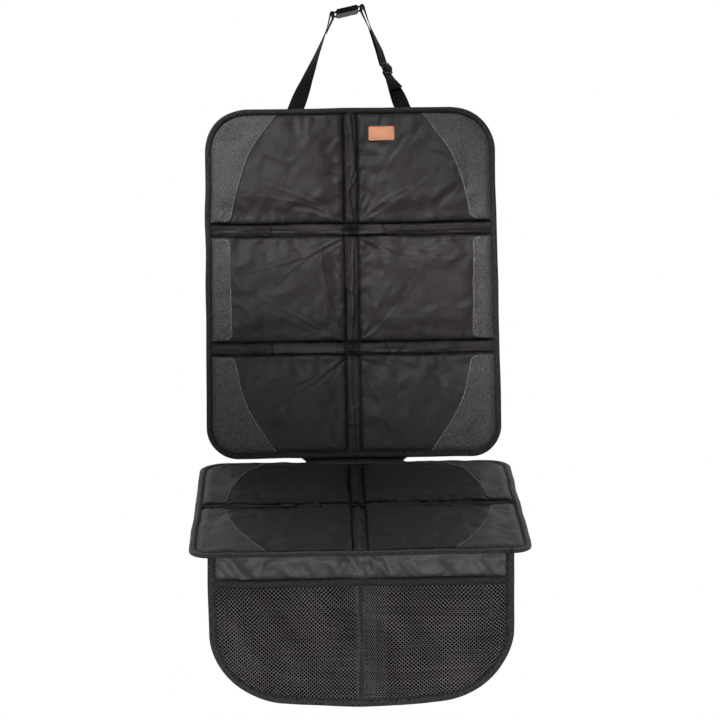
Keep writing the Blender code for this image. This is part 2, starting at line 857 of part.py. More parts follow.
def add_webbing(name, rings):
    """Flat webbing through (centre, width direction) pairs, square to its own run."""
    corners = []
    rings = even_twist(rings)
    for index, (centre, wide) in enumerate(rings):
        before = rings[max(index - 1, 0)][0]
        after = rings[min(index + 1, len(rings) - 1)][0]
        arrive = (centre - before).normalized() if index else (after - centre).normalized()
        leave = (after - centre).normalized() if after != centre else arrive
        run = (arrive + leave).normalized()
        stretch = 1.0 / max(run.dot(arrive), 0.7)
        face = run.cross(wide).normalized() * (WEB_THICK / 2 * stretch)
        half = wide * (WEB_WIDTH / 2)
        low = centre - face
        high = centre + face
        corners.append([low - half, low + half, high + half, high - half])
    sweep(name, corners, False, BACK_FRAME, "webbing")


def add_left_strap():
    strap = Strap(-1, TWIST_LEFT)
    parts = (STRAP_LAP, 0.0, STRAP_RISE, 0.14, 0.22, 0.30, 0.38, 0.46, 0.55, 0.66, 0.76, 0.79, 0.82, 0.84, SEWN_END)
    rings = [strap.ring(part, 0.0) for part in parts]
    rings += strap.wrap(1.0)
    rings += [strap.ring(part, -WEB_STEP - GAP) for part in (SEWN_END + 0.02, SEWN_END, 0.84, 0.82)]
    add_webbing("strap_left", rings)


def add_right_strap():
    strap = Strap(1, TWIST_RIGHT)
    low = BEHIND - WEB_STEP
    high = -BEHIND

    def at(distance):
        return SLIDER_AT + distance / strap.length

    main = [(STRAP_LAP, 0.0), (0.0, 0.0), (STRAP_RISE, 0.0), (0.14, 0.0), (0.22, -GAP)]
    main += [(0.30, low * 0.6), (at(-MAIN_BENDS[0] - SLIDER_BAR), low), (at(-MAIN_BENDS[0]), low)]
    main += [(at(-MAIN_BENDS[1]), high), (at(MAIN_BENDS[1]), high), (at(MAIN_BENDS[0]), low)]
    main += [(at(MAIN_BENDS[0] + SLIDER_BAR), low), (0.58, -WEB_STEP), (0.70, -WEB_STEP), (0.82, -WEB_STEP)]
    back = [(part, offset + WEB_STEP) for part, offset in ((0.82, -GAP), (0.70, -GAP), (0.58, -GAP))]
    back += [(at(TAIL_BENDS[0] + SLIDER_BAR), BEHIND), (at(TAIL_BENDS[0]), BEHIND)]
    back += [(at(TAIL_BENDS[1]), high + WEB_STEP), (at(-TAIL_BENDS[1]), high + WEB_STEP)]
    back += [(at(-TAIL_BENDS[0]), BEHIND), (at(-TAIL_BENDS[0] - SLIDER_BAR), BEHIND)]
    back += [(0.30, low * 0.6 + WEB_STEP + GAP), (TAIL_END, TAIL_LIFT)]
    rings = [strap.ring(part, offset) for part, offset in main]
    rings += strap.wrap(-1.0)
    rings += [strap.ring(part, offset) for part, offset in back]
    add_webbing("strap_right", rings)
    return strap


# Buckle and slider
def add_block(name, low, high, frame):
    (x0, y0, z0), (x1, y1, z1) = low, high
    outline = ((x0, y0), (x1, y0), (x1, y1), (x0, y1))
    block = prism(name, outline, z0, z1, frame, None, CUTTERS)
    block.hide_render = True
    block.display_type = "WIRE"
    return block


def combine(obj, other, operation):
    modifier = obj.modifiers.new(other.name, "BOOLEAN")
    modifier.solver = "EXACT"
    modifier.operation = operation
    modifier.object = other


def buckle_frame():
    wide = -OUT
    up = BUCKLE_ALONG.cross(wide)
    local = Matrix((BUCKLE_ALONG, wide, up)).transposed().to_4x4()
    local.translation = BUCKLE_CENTRE
    return BACK_FRAME @ local


def moulding(name, stations, frame):
    """Chamfered body through (along, half width, half thickness) stations."""
    rings = []
    cut = BUCKLE_CHAMFER
    for along, wide, thick in stations:
        ring = [(wide - cut, -thick), (wide, cut - thick), (wide, thick - cut), (wide - cut, thick)]
        ring += [(-a, b) for a, b in reversed(ring)]
        rings.append([(along, a, b) for a, b in ring])
    return sweep(name, rings, False, frame, "plastic")


def add_buckle():
    frame = buckle_frame()
    end = BUCKLE_HALF_LENGTH
    wide = BUCKLE_HALF_WIDTH
    cut = BUCKLE_CHAMFER
    shapes = {}
    for side, name, face in ((-1, "buckle_socket", MOUTH), (1, "buckle_plug", MOUTH + GAP)):
        stations = [
            (side * end, wide - cut, END_HALF_THICK - cut / 2),
            (side * (end - cut), wide, END_HALF_THICK),
            (side * STEP_END, wide, END_HALF_THICK),
            (side * STEP_START, wide, BODY_HALF_THICK),
            (face + side * cut, wide, BODY_HALF_THICK),
            (face, wide - cut / 2, BODY_HALF_THICK - cut / 2),
        ]
        if side > 0:
            stations.reverse()
        shapes[side] = moulding(name, stations, frame)
        near = end - BAR
        far = near - WEB_SLOT
        low, high = sorted((side * near, side * far))
        half = WEB_SLOT_HALF_WIDTH
        slot = add_block(name + "_slot", (low, -half, -wide), (high, half, wide), frame)
        combine(shapes[side], slot, "DIFFERENCE")
    add_cavity(shapes[-1], frame)
    add_prongs(shapes[1], frame)


def add_cavity(socket, frame):
    half = CAVITY_HALF_WIDTH
    deep = CAVITY_HALF_THICK
    cavity = add_block("socket_cavity", (CAVITY_END, -half, -deep), (MOUTH + BAR, half, deep), frame)
    combine(socket, cavity, "DIFFERENCE")
    reach = BUCKLE_HALF_WIDTH + BAR
    deep = WINDOW_HALF_THICK
    window = add_block("socket_window", (WINDOW[0], -reach, -deep), (WINDOW[1], reach, deep), frame)
    combine(socket, window, "DIFFERENCE")


def add_prongs(plug, frame):
    for side in (-1, 1):
        outline = [(along, side * wide) for along, wide in PRONG]
        if side > 0:
            outline.reverse()
        outline = outline[::-1]
        prong = prism("prong", outline[::-1], -PRONG_HALF_THICK, PRONG_HALF_THICK, frame, None, CUTTERS)
        prong.hide_render = True
        prong.display_type = "WIRE"
        combine(plug, prong, "UNION")
    half = BLADE_HALF_WIDTH
    deep = BLADE_HALF_THICK
    blade = add_block("blade", (BLADE_END, -half, -deep), (MOUTH + BAR, half, deep), frame)
    combine(plug, blade, "UNION")


def add_slider(strap):
    centre, wide = strap.ring(SLIDER_AT, 0.0)
    face = strap.turn(SLIDER_AT)[1]
    across = strap.along.cross(face)
    local = Matrix((across, strap.along, face)).transposed().to_4x4()
    local.translation = centre
    frame = BACK_FRAME @ local
    outline = rounded(SLIDER_HALF_WIDTH, SLIDER_HALF_LENGTH, SLIDER_RADIUS, 3)
    thick = SLIDER_THICK / 2
    slider = prism("strap_slider", outline, -thick, thick, frame, "plastic")
    half = SLIDER_HALF_WIDTH - SLIDER_SIDE
    near = SLIDER_BAR / 2
    far = SLIDER_HALF_LENGTH - SLIDER_BAR
    for side in (-1, 1):
        low, high = sorted((side * near, side * far))
        slot = add_block("slider_slot", (-half, low, -SLIDER_BAR), (half, high, SLIDER_BAR), frame)
        combine(slider, slot, "DIFFERENCE")


add_left_strap()
add_buckle()
add_slider(add_right_strap())
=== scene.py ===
"""Car seat protector: soft pads, leatherette patches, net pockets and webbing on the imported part."""

import json
import math
from itertools import product

import bpy
import numpy as np
from mathutils import Matrix, Vector

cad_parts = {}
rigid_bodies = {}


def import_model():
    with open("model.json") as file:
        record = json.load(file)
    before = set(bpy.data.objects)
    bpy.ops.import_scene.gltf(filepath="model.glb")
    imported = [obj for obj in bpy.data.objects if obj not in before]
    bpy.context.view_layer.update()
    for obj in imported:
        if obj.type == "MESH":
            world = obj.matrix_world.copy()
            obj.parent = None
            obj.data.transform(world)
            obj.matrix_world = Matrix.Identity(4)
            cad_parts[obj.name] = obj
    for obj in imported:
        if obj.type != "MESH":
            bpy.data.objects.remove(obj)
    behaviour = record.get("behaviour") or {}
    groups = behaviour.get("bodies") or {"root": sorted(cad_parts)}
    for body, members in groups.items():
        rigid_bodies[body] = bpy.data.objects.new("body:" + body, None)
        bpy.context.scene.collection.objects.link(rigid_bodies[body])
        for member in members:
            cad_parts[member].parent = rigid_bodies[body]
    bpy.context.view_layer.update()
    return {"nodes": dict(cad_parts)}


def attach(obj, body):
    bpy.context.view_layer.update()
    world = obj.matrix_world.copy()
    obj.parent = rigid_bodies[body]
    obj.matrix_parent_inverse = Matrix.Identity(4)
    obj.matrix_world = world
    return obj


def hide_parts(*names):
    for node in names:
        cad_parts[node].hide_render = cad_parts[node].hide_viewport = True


bpy.ops.object.select_all(action="SELECT")
bpy.ops.object.delete()
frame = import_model()
NODES = frame["nodes"]

# Frames of the three sections: across, up the face, out of the face
LEAN = math.radians(21.0)


def section(origin, up):
    up = np.array(up)
    across = np.array((1.0, 0.0, 0.0))
    return np.array((across, up, np.cross(across, up))), np.array(origin)


SEAT = section((0.0, -0.210, 0.0), (0.0, 1.0, 0.0))
BACK = section((0.0, 0.2290, 0.0120), (0.0, math.sin(LEAN), math.cos(LEAN)))
FLAP = section((0.0, -0.2035, -0.2283), (0.0, 0.0, 1.0))


def place(points, where):
    return points @ where[0] + where[1]


# Smooth noise, the same on every run
def noise(x, y, seed, size=64):
    table = np.random.default_rng(seed).uniform(-1.0, 1.0, (size, size))
    xi, yi = np.floor(x).astype(int), np.floor(y).astype(int)
    fx, fy = x - xi, y - yi
    fx, fy = fx * fx * (3 - 2 * fx), fy * fy * (3 - 2 * fy)
    a = table[yi % size, xi % size]
    b = table[yi % size, (xi + 1) % size]
    c = table[(yi + 1) % size, xi % size]
    d = table[(yi + 1) % size, (xi + 1) % size]
    return (a * (1 - fx) + b * fx) * (1 - fy) + (c * (1 - fx) + d * fx) * fy


def fractal(x, y, seed, octaves=3):
    total = 0.0
    for k in range(octaves):
        total = total + noise(x * 2**k, y * 2**k, seed + k) / 2**k
    return total


def smooth(t):
    """0 below 0, 1 above 1 and a soft step between."""
    t = np.clip(t, 0.0, 1.0)
    return t * t * (3 - 2 * t)


def bell(t):
    """1 at 0, fading to both sides."""
    return np.exp(-(t**2))


def drift(x, v, pitch, reach, seed):
    """Slight waviness across and up that every layer of a section shares."""
    across = noise(x / pitch + 9.0, v / pitch + 9.0, seed)
    up = noise(x / pitch + 29.0, v / pitch + 9.0, seed + 1)
    return x + reach * across, v + reach * up


def round_corners(x, v, half_width, height, radii):
    """Rectangular grid moved in at its corners, whose lower and upper radii are given."""
    low = v < height / 2
    radius = np.where(low, *radii)
    along = np.maximum(np.abs(x) - (half_width - radius), 0.0)
    above = np.maximum(np.where(low, radius - v, v - (height - radius)), 0.0)
    corner = np.minimum(along, above) > 0.0
    pull = np.maximum(along, above) / np.maximum(np.hypot(along, above), 1e-9)
    out_x = np.where(corner, np.sign(x) * (half_width - radius + along * pull), x)
    out_v = np.where(low, radius - above * pull, height - radius + above * pull)
    return out_x, np.where(corner, out_v, v)


def evened(line, times):
    """Line smoothed between its two ends."""
    for _ in range(times):
        line[1:-1] = (line[:-2] + 2 * line[1:-1] + line[2:]) / 4
    return line


# Mesh builders
def build(name, points, quads, uv, material):
    mesh = bpy.data.meshes.new(name)
    mesh.from_pydata([tuple(p) for p in points], [], [tuple(q) for q in quads])
    mesh.materials.append(material)
    layer = mesh.uv_layers.new(name="metres")
    index = np.empty(len(mesh.loops), dtype=np.int32)
    mesh.loops.foreach_get("vertex_index", index)
    layer.data.foreach_set("uv", np.asarray(uv, dtype=np.float32)[index].ravel())
    mesh.shade_smooth()
    obj = bpy.data.objects.new(name, mesh)
    bpy.context.scene.collection.objects.link(obj)
    return obj


def grid_quads(rows, columns, wrap_rows=False, wrap_columns=False):
    r = np.arange(rows if wrap_rows else rows - 1)
    c = np.arange(columns if wrap_columns else columns - 1)
    rr, cc = np.meshgrid(r, c, indexing="ij")
    r1, c1 = (rr + 1) % rows, (cc + 1) % columns
    quads = np.stack((rr * columns + cc, rr * columns + c1, r1 * columns + c1, r1 * columns + cc), -1)
    return quads.reshape(-1, 4)


def ribbon_uv(run, around):
    """Metres along a strip and round its section."""
    return np.stack(np.broadcast_arrays(run[:, None], around[None]), -1)


def grid(name, points, uv, material, where, wrap_rows=False, wrap_columns=False, flip=False):
    rows, columns = points.shape[:2]
    quads = grid_quads(rows, columns, wrap_rows, wrap_columns)
    if flip:
        quads = quads[:, ::-1]
    flat = place(points.reshape(-1, 3), where) if where else points.reshape(-1, 3)
    return build(name, flat, quads, uv.reshape(-1, 2), material)


def ride(obj, replaced):
    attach(obj, "root")
    if replaced:
        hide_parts(*replaced)


# Materials: pitches and relief distances in metres, colours as shares of full brightness
WAVE_PITCH = 0.314  # distance between the bands of a wave texture at scale 1


class Shade:
    """One material: colour and relief made by nodes, each relief laid over the one before."""

    def __init__(self, name, colour, rough, sheen=0.0, specular=0.5):
        self.material = bpy.data.materials.new(name)
        self.material.use_nodes = True
        self.tree = self.material.node_tree
        self.bsdf = self.tree.nodes["Principled BSDF"]
        self.bsdf.inputs["Base Color"].default_value = (*colour, 1.0)
        self.bsdf.inputs["Roughness"].default_value = rough
        self.bsdf.inputs["Specular IOR Level"].default_value = specular
        self.bsdf.inputs["Sheen Weight"].default_value = sheen
        self.bsdf.inputs["Sheen Roughness"].default_value = 0.4
        self.colour = colour
        self.normal = None

    def node(self, kind, **values):
        made = self.tree.nodes.new(kind)
        for key, value in values.items():
            if key in made.inputs:
                made.inputs[key].default_value = value
            else:
                setattr(made, key, value)
        return made

    def link(self, source, out, target, into):
        self.tree.links.new(source.outputs[out], target.inputs[into])

    def mapping(self, scale, space="UV"):
        mapped = self.node("ShaderNodeMapping", Scale=scale)
        self.link(self.node("ShaderNodeTexCoord"), space, mapped, "Vector")
        return mapped

    def ramp(self, source, out, low, high, start, stop):
        """Value that goes from start to stop while the source goes from low to high."""
        ends = {"From Min": low, "From Max": high, "To Min": start, "To Max": stop}
        made = self.node("ShaderNodeMapRange", **ends)
        self.link(source, out, made, "Value")
        return made

    def bump(self, source, out, strength, distance):
        made = self.node("ShaderNodeBump", Strength=strength, Distance=distance)
        self.link(source, out, made, "Height")
        if self.normal:
            self.link(self.normal, "Normal", made, "Normal")
        self.link(made, "Normal", self.bsdf, "Normal")
        self.normal = made

    def waves(self, pitch, axis, strength, distance):
        """Parallel ribs, one each pitch."""
        scale = WAVE_PITCH / pitch
        wave = self.node("ShaderNodeTexWave", bands_direction=axis, Scale=scale, Distortion=0.6)
        wave.inputs["Detail Scale"].default_value = 2.0
        self.link(self.mapping((1.0, 1.0, 1.0)), "Vector", wave, "Vector")
        self.bump(wave, "Fac", strength, distance)

    def mottle(self, scale, low, high, space="Object", stretch=(1.0, 1.0, 1.0)):
        """Base colour that drifts between two brightnesses."""
        mapped = self.mapping(tuple(scale * part for part in stretch), space)
        grain = self.node("ShaderNodeTexNoise", Scale=1.0, Detail=2.0, Roughness=0.55)
        self.link(mapped, "Vector", grain, "Vector")
        mix = self.node("ShaderNodeMix", data_type="RGBA")
        ends = [socket for socket in mix.inputs if socket.type == "RGBA"]
        for socket, factor in zip(ends, (low, high)):
            socket.default_value = (*[part * factor for part in self.colour], 1.0)
        self.link(self.ramp(grain, "Fac", 0.32, 0.68, 0.0, 1.0), "Result", mix, 0)
        mixed = next(out for out in mix.outputs if out.type == "RGBA")
        self.tree.links.new(mixed, self.bsdf.inputs["Base Color"])

    def painted_shade_below(self, level, share):
        """Painted shade inside the net pockets: the cloth's colour and shine scaled down below a height, on
        its front face only; the rear keeps its own colour.
        """
        parts = self.node("ShaderNodeSeparateXYZ")
        self.link(self.node("ShaderNodeTexCoord"), "UV", parts, 0)
        rear = self.node("ShaderNodeMath", operation="MAXIMUM")
        self.link(self.ramp(parts, "Y", level - 0.002, level, share, 1.0), "Result", rear, 0)
        self.link(self.node("ShaderNodeNewGeometry"), "Backfacing", rear, 1)
        self.scale_by(rear)

    def darker_in(self, attribute, share):
        """Base colour and shine scaled down where the mesh's attribute nears 1."""
        mark = self.node("ShaderNodeAttribute", attribute_name=attribute)
        self.scale_by(self.ramp(mark, "Fac", 0.0, 1.0, 1.0, share))

    def scale_by(self, factor):
        """Base colour and shine times the factor node's first output."""
        scale = self.node("ShaderNodeVectorMath", operation="SCALE")
        self.tree.links.new(self.bsdf.inputs["Base Color"].links[0].from_socket, scale.inputs[0])
        self.link(factor, 0, scale, "Scale")
        self.link(scale, "Vector", self.bsdf, "Base Color")
        shine = self.node("ShaderNodeMath", operation="MULTIPLY")
        shine.inputs[1].default_value = self.bsdf.inputs["Specular IOR Level"].default_value
        self.link(factor, 0, shine, 0)
        self.link(shine, "Value", self.bsdf, "Specular IOR Level")

    def cells(self, pitch, strength, distance):
        """Rounded bumps side by side."""
        cell = self.node("ShaderNodeTexVoronoi", feature="SMOOTH_F1", Scale=1.0)
        self.link(self.mapping((1.0 / pitch,) * 3), "Vector", cell, "Vector")
        self.bump(cell, "Distance", strength, -distance)

    def speckle(self, pitch, strength, distance, space="UV", kind="FBM", warp=0.0):
        """Uneven relief without a pattern."""
        grain = self.node("ShaderNodeTexNoise", Scale=1.0, Detail=2.0, Distortion=warp, noise_type=kind)
        self.link(self.mapping((1.0 / pitch,) * 3, space), "Vector", grain, "Vector")
        self.bump(grain, "Fac", strength, distance)


def cloth_shade(name, colour, rough, specular):
    """Woven cloth with fine crumples and, at the widest pitch, soft ridges."""
    shade = Shade(name, colour, rough, 0.02, specular)
    shade.mottle(560.0, 0.66, 1.36)
    for axis in "XY":
        shade.waves(0.0013, axis, 0.35, 0.00016)
    shade.speckle(0.0030, 0.35, 0.0004)
    shade.speckle(0.016, 0.45, 0.0016)
    shade.speckle(0.042, 1.0, 0.0045, "UV", "RIDGED_MULTIFRACTAL", 0.5)
    return shade


def tape_shade(name, colour, rough, spread=1.9, low=0.10, specular=0.5):
    """Ribbed: the colour and the relief change along the tape much faster than across it."""
    shade = Shade(name, colour, rough, 0.04, specular)
    shade.mottle(1.0, low, spread, "UV", (760.0, 520.0, 1.0))
    shade.waves(0.0021, "X", 1.0, 0.0007)
    shade.speckle(0.0012, 0.5, 0.0003)
    return shade


CLOTH_SHADE = cloth_shade("oxford_cloth", (0.0335, 0.0280, 0.0290), 0.50, 0.23)
# Painted shade: the cloth's colour and shine are darkened along the quilting's stitch lines, beside them
# and at their crossings, where shade falls.
CLOTH_SHADE.darker_in("painted_groove_shade", 0.22)
CLOTH = CLOTH_SHADE.material
FLAP_CLOTH_SHADE = cloth_shade("flap_cloth", (0.0770, 0.0665, 0.0700), 0.48, 1.0)
# Painted shade: the flap cloth is darkened below the hem, inside the pockets behind the net.
FLAP_CLOTH_SHADE.painted_shade_below(0.1830, 0.03)
FLAP_CLOTH = FLAP_CLOTH_SHADE.material
GRAIN_SHADE = Shade("leatherette", (0.072, 0.067, 0.069), 0.58, 0.0, 0.30)
GRAIN_SHADE.mottle(700.0, 0.15, 2.0)
GRAIN_SHADE.cells(0.0019, 1.0, 0.0006)
GRAIN_SHADE.speckle(0.0011, 0.6, 0.0003)
GRAIN = GRAIN_SHADE.material
TAPE = tape_shade("edge_tape", (0.018, 0.0162, 0.0162), 0.50, 3.4, 0.0, 0.35).material
FLAP_TAPE = tape_shade("flap_tape", (0.040, 0.036, 0.036), 0.50, 3.6, 0.0, 0.45).material
HEM = tape_shade("hem_tape", (0.036, 0.032, 0.032), 0.52, 3.2, 0.0).material
NET = tape_shade("net_thread", (0.600, 0.558, 0.572), 0.50, 1.4).material
WEB = tape_shade("webbing", (0.0055, 0.005, 0.005), 0.70, 1.6, 0.3, 0.12).material
THREAD = tape_shade("thread", (0.420, 0.400, 0.405), 0.55, 1.4).material
DARK_THREAD = tape_shade("dark_thread", (0.010, 0.009, 0.009), 0.55, 1.4).material
RUBBER_SHADE = Shade("backing", (0.020, 0.020, 0.021), 0.80)
RUBBER_SHADE.mottle(90.0, 0.8, 1.25)
RUBBER_SHADE.cells(0.0055, 1.0, 0.0014)
RUBBER_SHADE.speckle(0.0015, 0.3, 0.0002)
RUBBER = RUBBER_SHADE.material
PLASTIC_SHADE = Shade("plastic", (0.006, 0.006, 0.007), 0.40, 0.0, 0.16)
PLASTIC_SHADE.speckle(0.0012, 0.10, 0.0001, "Object")
PLASTIC = PLASTIC_SHADE.material
LEATHER_SHADE = Shade("tab_leather", (0.800, 0.325, 0.168), 0.45)
LEATHER_SHADE.mottle(700.0, 0.86, 1.12)
LEATHER_SHADE.cells(0.0012, 0.30, 0.0002)
LEATHER = LEATHER_SHADE.material
TAB_THREAD = Shade("tab_thread", (0.950, 0.640, 0.440), 0.50).material


# The two quilted pads, in flat coordinates x across and v up the face
WIDTH_STEP = 0.0021
CHANNEL_STEP = 0.0011
SHEET_INSET = 0.0018
CHANNEL_HALF = 0.0100
CENTRE_HALF = 0.0108
TAPE_WIDTH = 0.0094
PAD_DRIFT = (0.055, 0.0011)
# Heights over the pad's rear: cloth in a channel, cloth under the tape
REST = 0.0026
UNDER_TAPE = 0.0031
# Relief of the cloth: slow and fine waviness, gathers, folds in the channels, slots at the stitch lines
SLOW_WAVE, FINE_WAVE, PUCKER = 0.0014, 0.0006, 0.00120
TUCK, SECOND_TUCK, SLANT_TUCK = 0.0046, 0.0030, 0.0034
SLOT_DEPTH, SLOT_WIDTH = 0.0019, 0.0011
CREASES = 4
# Cloth simulation
CLOTH_SETTINGS = {
    "quality": 6,
    "mass": 0.15,
    "tension_stiffness": 25.0,
    "compression_stiffness": 25.0,
    "shear_stiffness": 12.0,
    "bending_stiffness": 0.25,
    "shrink_min": -0.030,
    "vertex_group_mass": "held",
    "use_pressure": True,
    "uniform_pressure_force": 4.0,
}
LARGEST_MOVE = 0.0026


def spline_weights(t):
    """Smooth weights of the four grid points round a place."""
    return (1 - t) ** 3 / 6, (3 * t**3 - 6 * t**2 + 4) / 6, (-3 * t**3 + 3 * t**2 + 3 * t + 1) / 6, t**3 / 6


def fold_profile(t):
    """A fold that rises gently on one side and drops sharply on the other."""
    return np.where(t < 0.0, bell(t / 0.62), bell(t / 0.16))


class Pad:
    """One quilted section: its outline, its channels and the relief of its face cloth."""

    def __init__(self, name, where, half_width, height, radii, channels, loft, seed, raised):
        self.name, self.where, self.raised = name, where, raised
        self.half_width, self.height, self.radii = half_width, height, radii
        self.channels, self.loft, self.seed = channels, loft, seed
        self.moves = None

    def drift(self, x, v):
        return drift(x, v, *PAD_DRIFT, self.seed)

    def warp(self, x, v):
        """Round corners, plus the slight waviness that every layer shares."""
        return self.drift(*round_corners(x, v, self.half_width, self.height, self.radii))

    def rim(self, x, v):
        """Distance in from the pad's edge."""
        return np.minimum(self.half_width - np.abs(x), np.minimum(v, self.height - v))

    def lift(self, x, v):
        """Slow rise and fall that every layer shares, and the edge that the neck pulls up."""
        start, length, height = self.raised
        slow = 0.0007 * noise(x / 0.16 + 5.0, v / 0.16 + 5.0, self.seed + 60)
        return slow + height * smooth((v - start) / length)

    def spans(self):
        """Lowest and highest place of each row of panels."""
        stops = (0.0, *self.channels, self.height)
        for k, (low, high) in enumerate(zip(stops, stops[1:])):
            start = low + (CHANNEL_HALF if k else TAPE_WIDTH)
            yield start, high - (TAPE_WIDTH if high == self.height else CHANNEL_HALF)

    def depth(self, x, v):
        """Distance from the nearest stitch line or binding, 0 in a channel."""
        across = np.minimum(np.abs(x) - CENTRE_HALF, self.half_width - TAPE_WIDTH - np.abs(x))
        up = np.full_like(v, -1.0)
        for start, stop in self.spans():
            up = np.maximum(up, np.minimum(v - start, stop - v))
        return np.maximum(across, 0.0), np.maximum(up, 0.0)

    def rise(self, x, v):
        """Height of the face cloth over the pad's rear."""
        across, up = self.depth(x, v)
        steep = (1 - np.exp(-across / 0.0055)) * (1 - np.exp(-up / 0.0050))
        inner = smooth(np.minimum(across, up) / 0.022)
        n = REST + self.loft * steep
        n = n + SLOW_WAVE * steep * fractal(x / 0.075, v / 0.060, self.seed + 5, 3)
        n = n + FINE_WAVE * inner * fractal(x / 0.020, v / 0.030, self.seed + 15, 2)
        n = n + self.puckers(x, v, across, up)
        n = n + self.creases(x, v) * steep
        n = n + self.folds(x, v)
        under = smooth((self.rim(x, v) - 0.004) / 0.007)
        return UNDER_TAPE + (n - UNDER_TAPE) * under + self.lift(x, v)

    def puckers(self, x, v, across, up):
        """Short, sharp gathers square to each stitch line, strongest in a few places."""
        seed = self.seed + 20
        run_x = x / 0.0105 + 1.5 * noise(x / 0.05, v / 0.02, seed)
        run_v = v / 0.0115 + 1.5 * noise(x / 0.02, v / 0.05, seed + 2)
        along_x = 1 - 2.4 * np.abs(noise(run_x, v / 0.045, seed + 1))
        along_v = 1 - 2.4 * np.abs(noise(x / 0.045, run_v, seed + 3))
        strength = np.clip(0.55 + 0.9 * noise(x / 0.050, v / 0.050, seed + 4), 0.08, 1.5)
        reach = 0.009 + 0.010 * np.clip(strength - 0.5, 0, 1)
        by_row = np.exp(-up / reach) * smooth(up / 0.002) * smooth(across / 0.004)
        by_centre = np.exp(-across / reach) * smooth(across / 0.002) * smooth(up / 0.004)
        outer = smooth((self.half_width - 0.010 - np.abs(x)) / 0.030)
        return PUCKER * strength * (by_row * along_x + by_centre * along_v * outer)

    def creases(self, x, v):
        """Drag lines that run out from the quilting's crossings."""
        total = np.zeros_like(x)
        rng = np.random.default_rng(self.seed + 30)
        for centre, side_x, side_v, _ in product(self.channels, (-1, 1), (-1, 1), range(CREASES)):
            angle = math.radians(rng.uniform(15, 80))
            reach, wide = rng.uniform(0.030, 0.095), rng.uniform(0.0018, 0.0040)
            height, bend = rng.uniform(0.0011, 0.0031), rng.uniform(-2.5, 2.5)
            fx = side_x * x - CENTRE_HALF * 0.8
            fv = side_v * (v - centre) - CHANNEL_HALF * 0.8
            run = fx * math.cos(angle) + fv * math.sin(angle)
            off = -fx * math.sin(angle) + fv * math.cos(angle) + bend * run * run
            fade = smooth(run / 0.012) * np.exp(-np.maximum(run, 0.0) / reach)
            ridge = bell(off / wide) - 0.55 * bell((off - 1.7 * wide) / wide)
            total = total + np.where((fx > 0) & (fv > 0), height * fade * ridge, 0.0)
        return total

    def folds(self, x, v):
        """Twisted tucks of loose cloth inside the channels, sunk at the stitch lines."""
        total = np.zeros_like(x)
        for k, centre in enumerate(self.channels):
            off = v - centre
            tuck = self.tucks(off / CHANNEL_HALF, x, 0.5 + 4 * k)
            total = total + np.where(np.abs(off) < CHANNEL_HALF, tuck, 0.0)
            slot = bell((np.abs(off) - CHANNEL_HALF) / SLOT_WIDTH)
            total = total - SLOT_DEPTH * slot * smooth((self.half_width - np.abs(x)) / 0.02)
        tuck = self.tucks(x / CENTRE_HALF, v, 21.5)
        crossing = np.min([np.abs(v - centre) for centre in self.channels], axis=0)
        total = total + np.where(np.abs(x) < CENTRE_HALF, tuck, 0.0) * smooth((crossing - 0.006) / 0.010)
        return total - SLOT_DEPTH * bell((np.abs(x) - CENTRE_HALF) / SLOT_WIDTH)

    def tucks(self, place_across, run, row):
        """Loose folds that wander along a channel, with a few creases slanting across them."""
        seed = self.seed + 40
        sway = 0.62 * noise(run / 0.060, row, seed) + 0.20 * noise(run / 0.022, row, seed + 6)
        size = 0.75 + 0.40 * noise(run / 0.038, row + 1, seed + 1)
        total = fold_profile(place_across - sway) * TUCK * size
        second = 0.50 + 0.30 * noise(run / 0.060, row + 2, seed + 7)
        total = np.maximum(total, fold_profile(-(place_across + second)) * SECOND_TUCK * (1.5 - size))
        rng = np.random.default_rng(seed + 8)
        for start in np.arange(-0.28, 0.58, 0.026):
            at = start + rng.uniform(-0.014, 0.014)
            slant, tall = rng.uniform(-2.4, 2.4) * 0.010, rng.uniform(0.0, 1.0)
            off = (run - at - slant * place_across) / rng.uniform(0.0022, 0.0046)
            total = total + SLANT_TUCK * tall**2 * (bell(off) - 0.5 * bell(off - 1.6))
        fine = noise(run / 0.024, place_across / 0.22 + row, seed + 5)
        return (total + 0.0005 * fine) * smooth((1.0 - np.abs(place_across)) / 0.22)

    def painted_groove_shade(self, x, v):
        """Painted shade: 1 along the stitch lines and at their crossings, less beside them and more on the
        panel above each channel, where the light falls away, unevenly along each one.
        """
        gaps = np.array([v - centre for centre in self.channels])
        above = np.take_along_axis(gaps, np.argmin(np.abs(gaps), 0)[None], 0)[0]
        off = np.abs(above)
        row, middle = np.abs(off - CHANNEL_HALF), np.abs(np.abs(x) - CENTRE_HALF)
        uneven = noise(x / 0.017 + 3.0, v / 0.017 + 3.0, self.seed + 70)
        soft = 0.0085 * (1.0 + 0.80 * noise(x / 0.040 + 7.0, v / 0.040 + 7.0, self.seed + 71))
        lines = bell(row / 0.0022) + bell(middle / 0.0022) * smooth((off - 0.008) / 0.006)
        crossing = bell(x / 0.013) * bell(off / 0.012)
        beside = np.exp(-np.minimum(row, middle) / soft) * np.where(above > 0, 0.50, 0.26)
        return np.clip((0.55 + 0.30 * uneven) * lines + 0.75 * crossing + beside, 0.0, 1.0)

    def points(self, x, v, lift=0.0):
        flat_x, flat_v = self.warp(x, v)
        return np.stack((flat_x, flat_v, self.rise(x, v) + lift), -1) + self.settled(x, v)

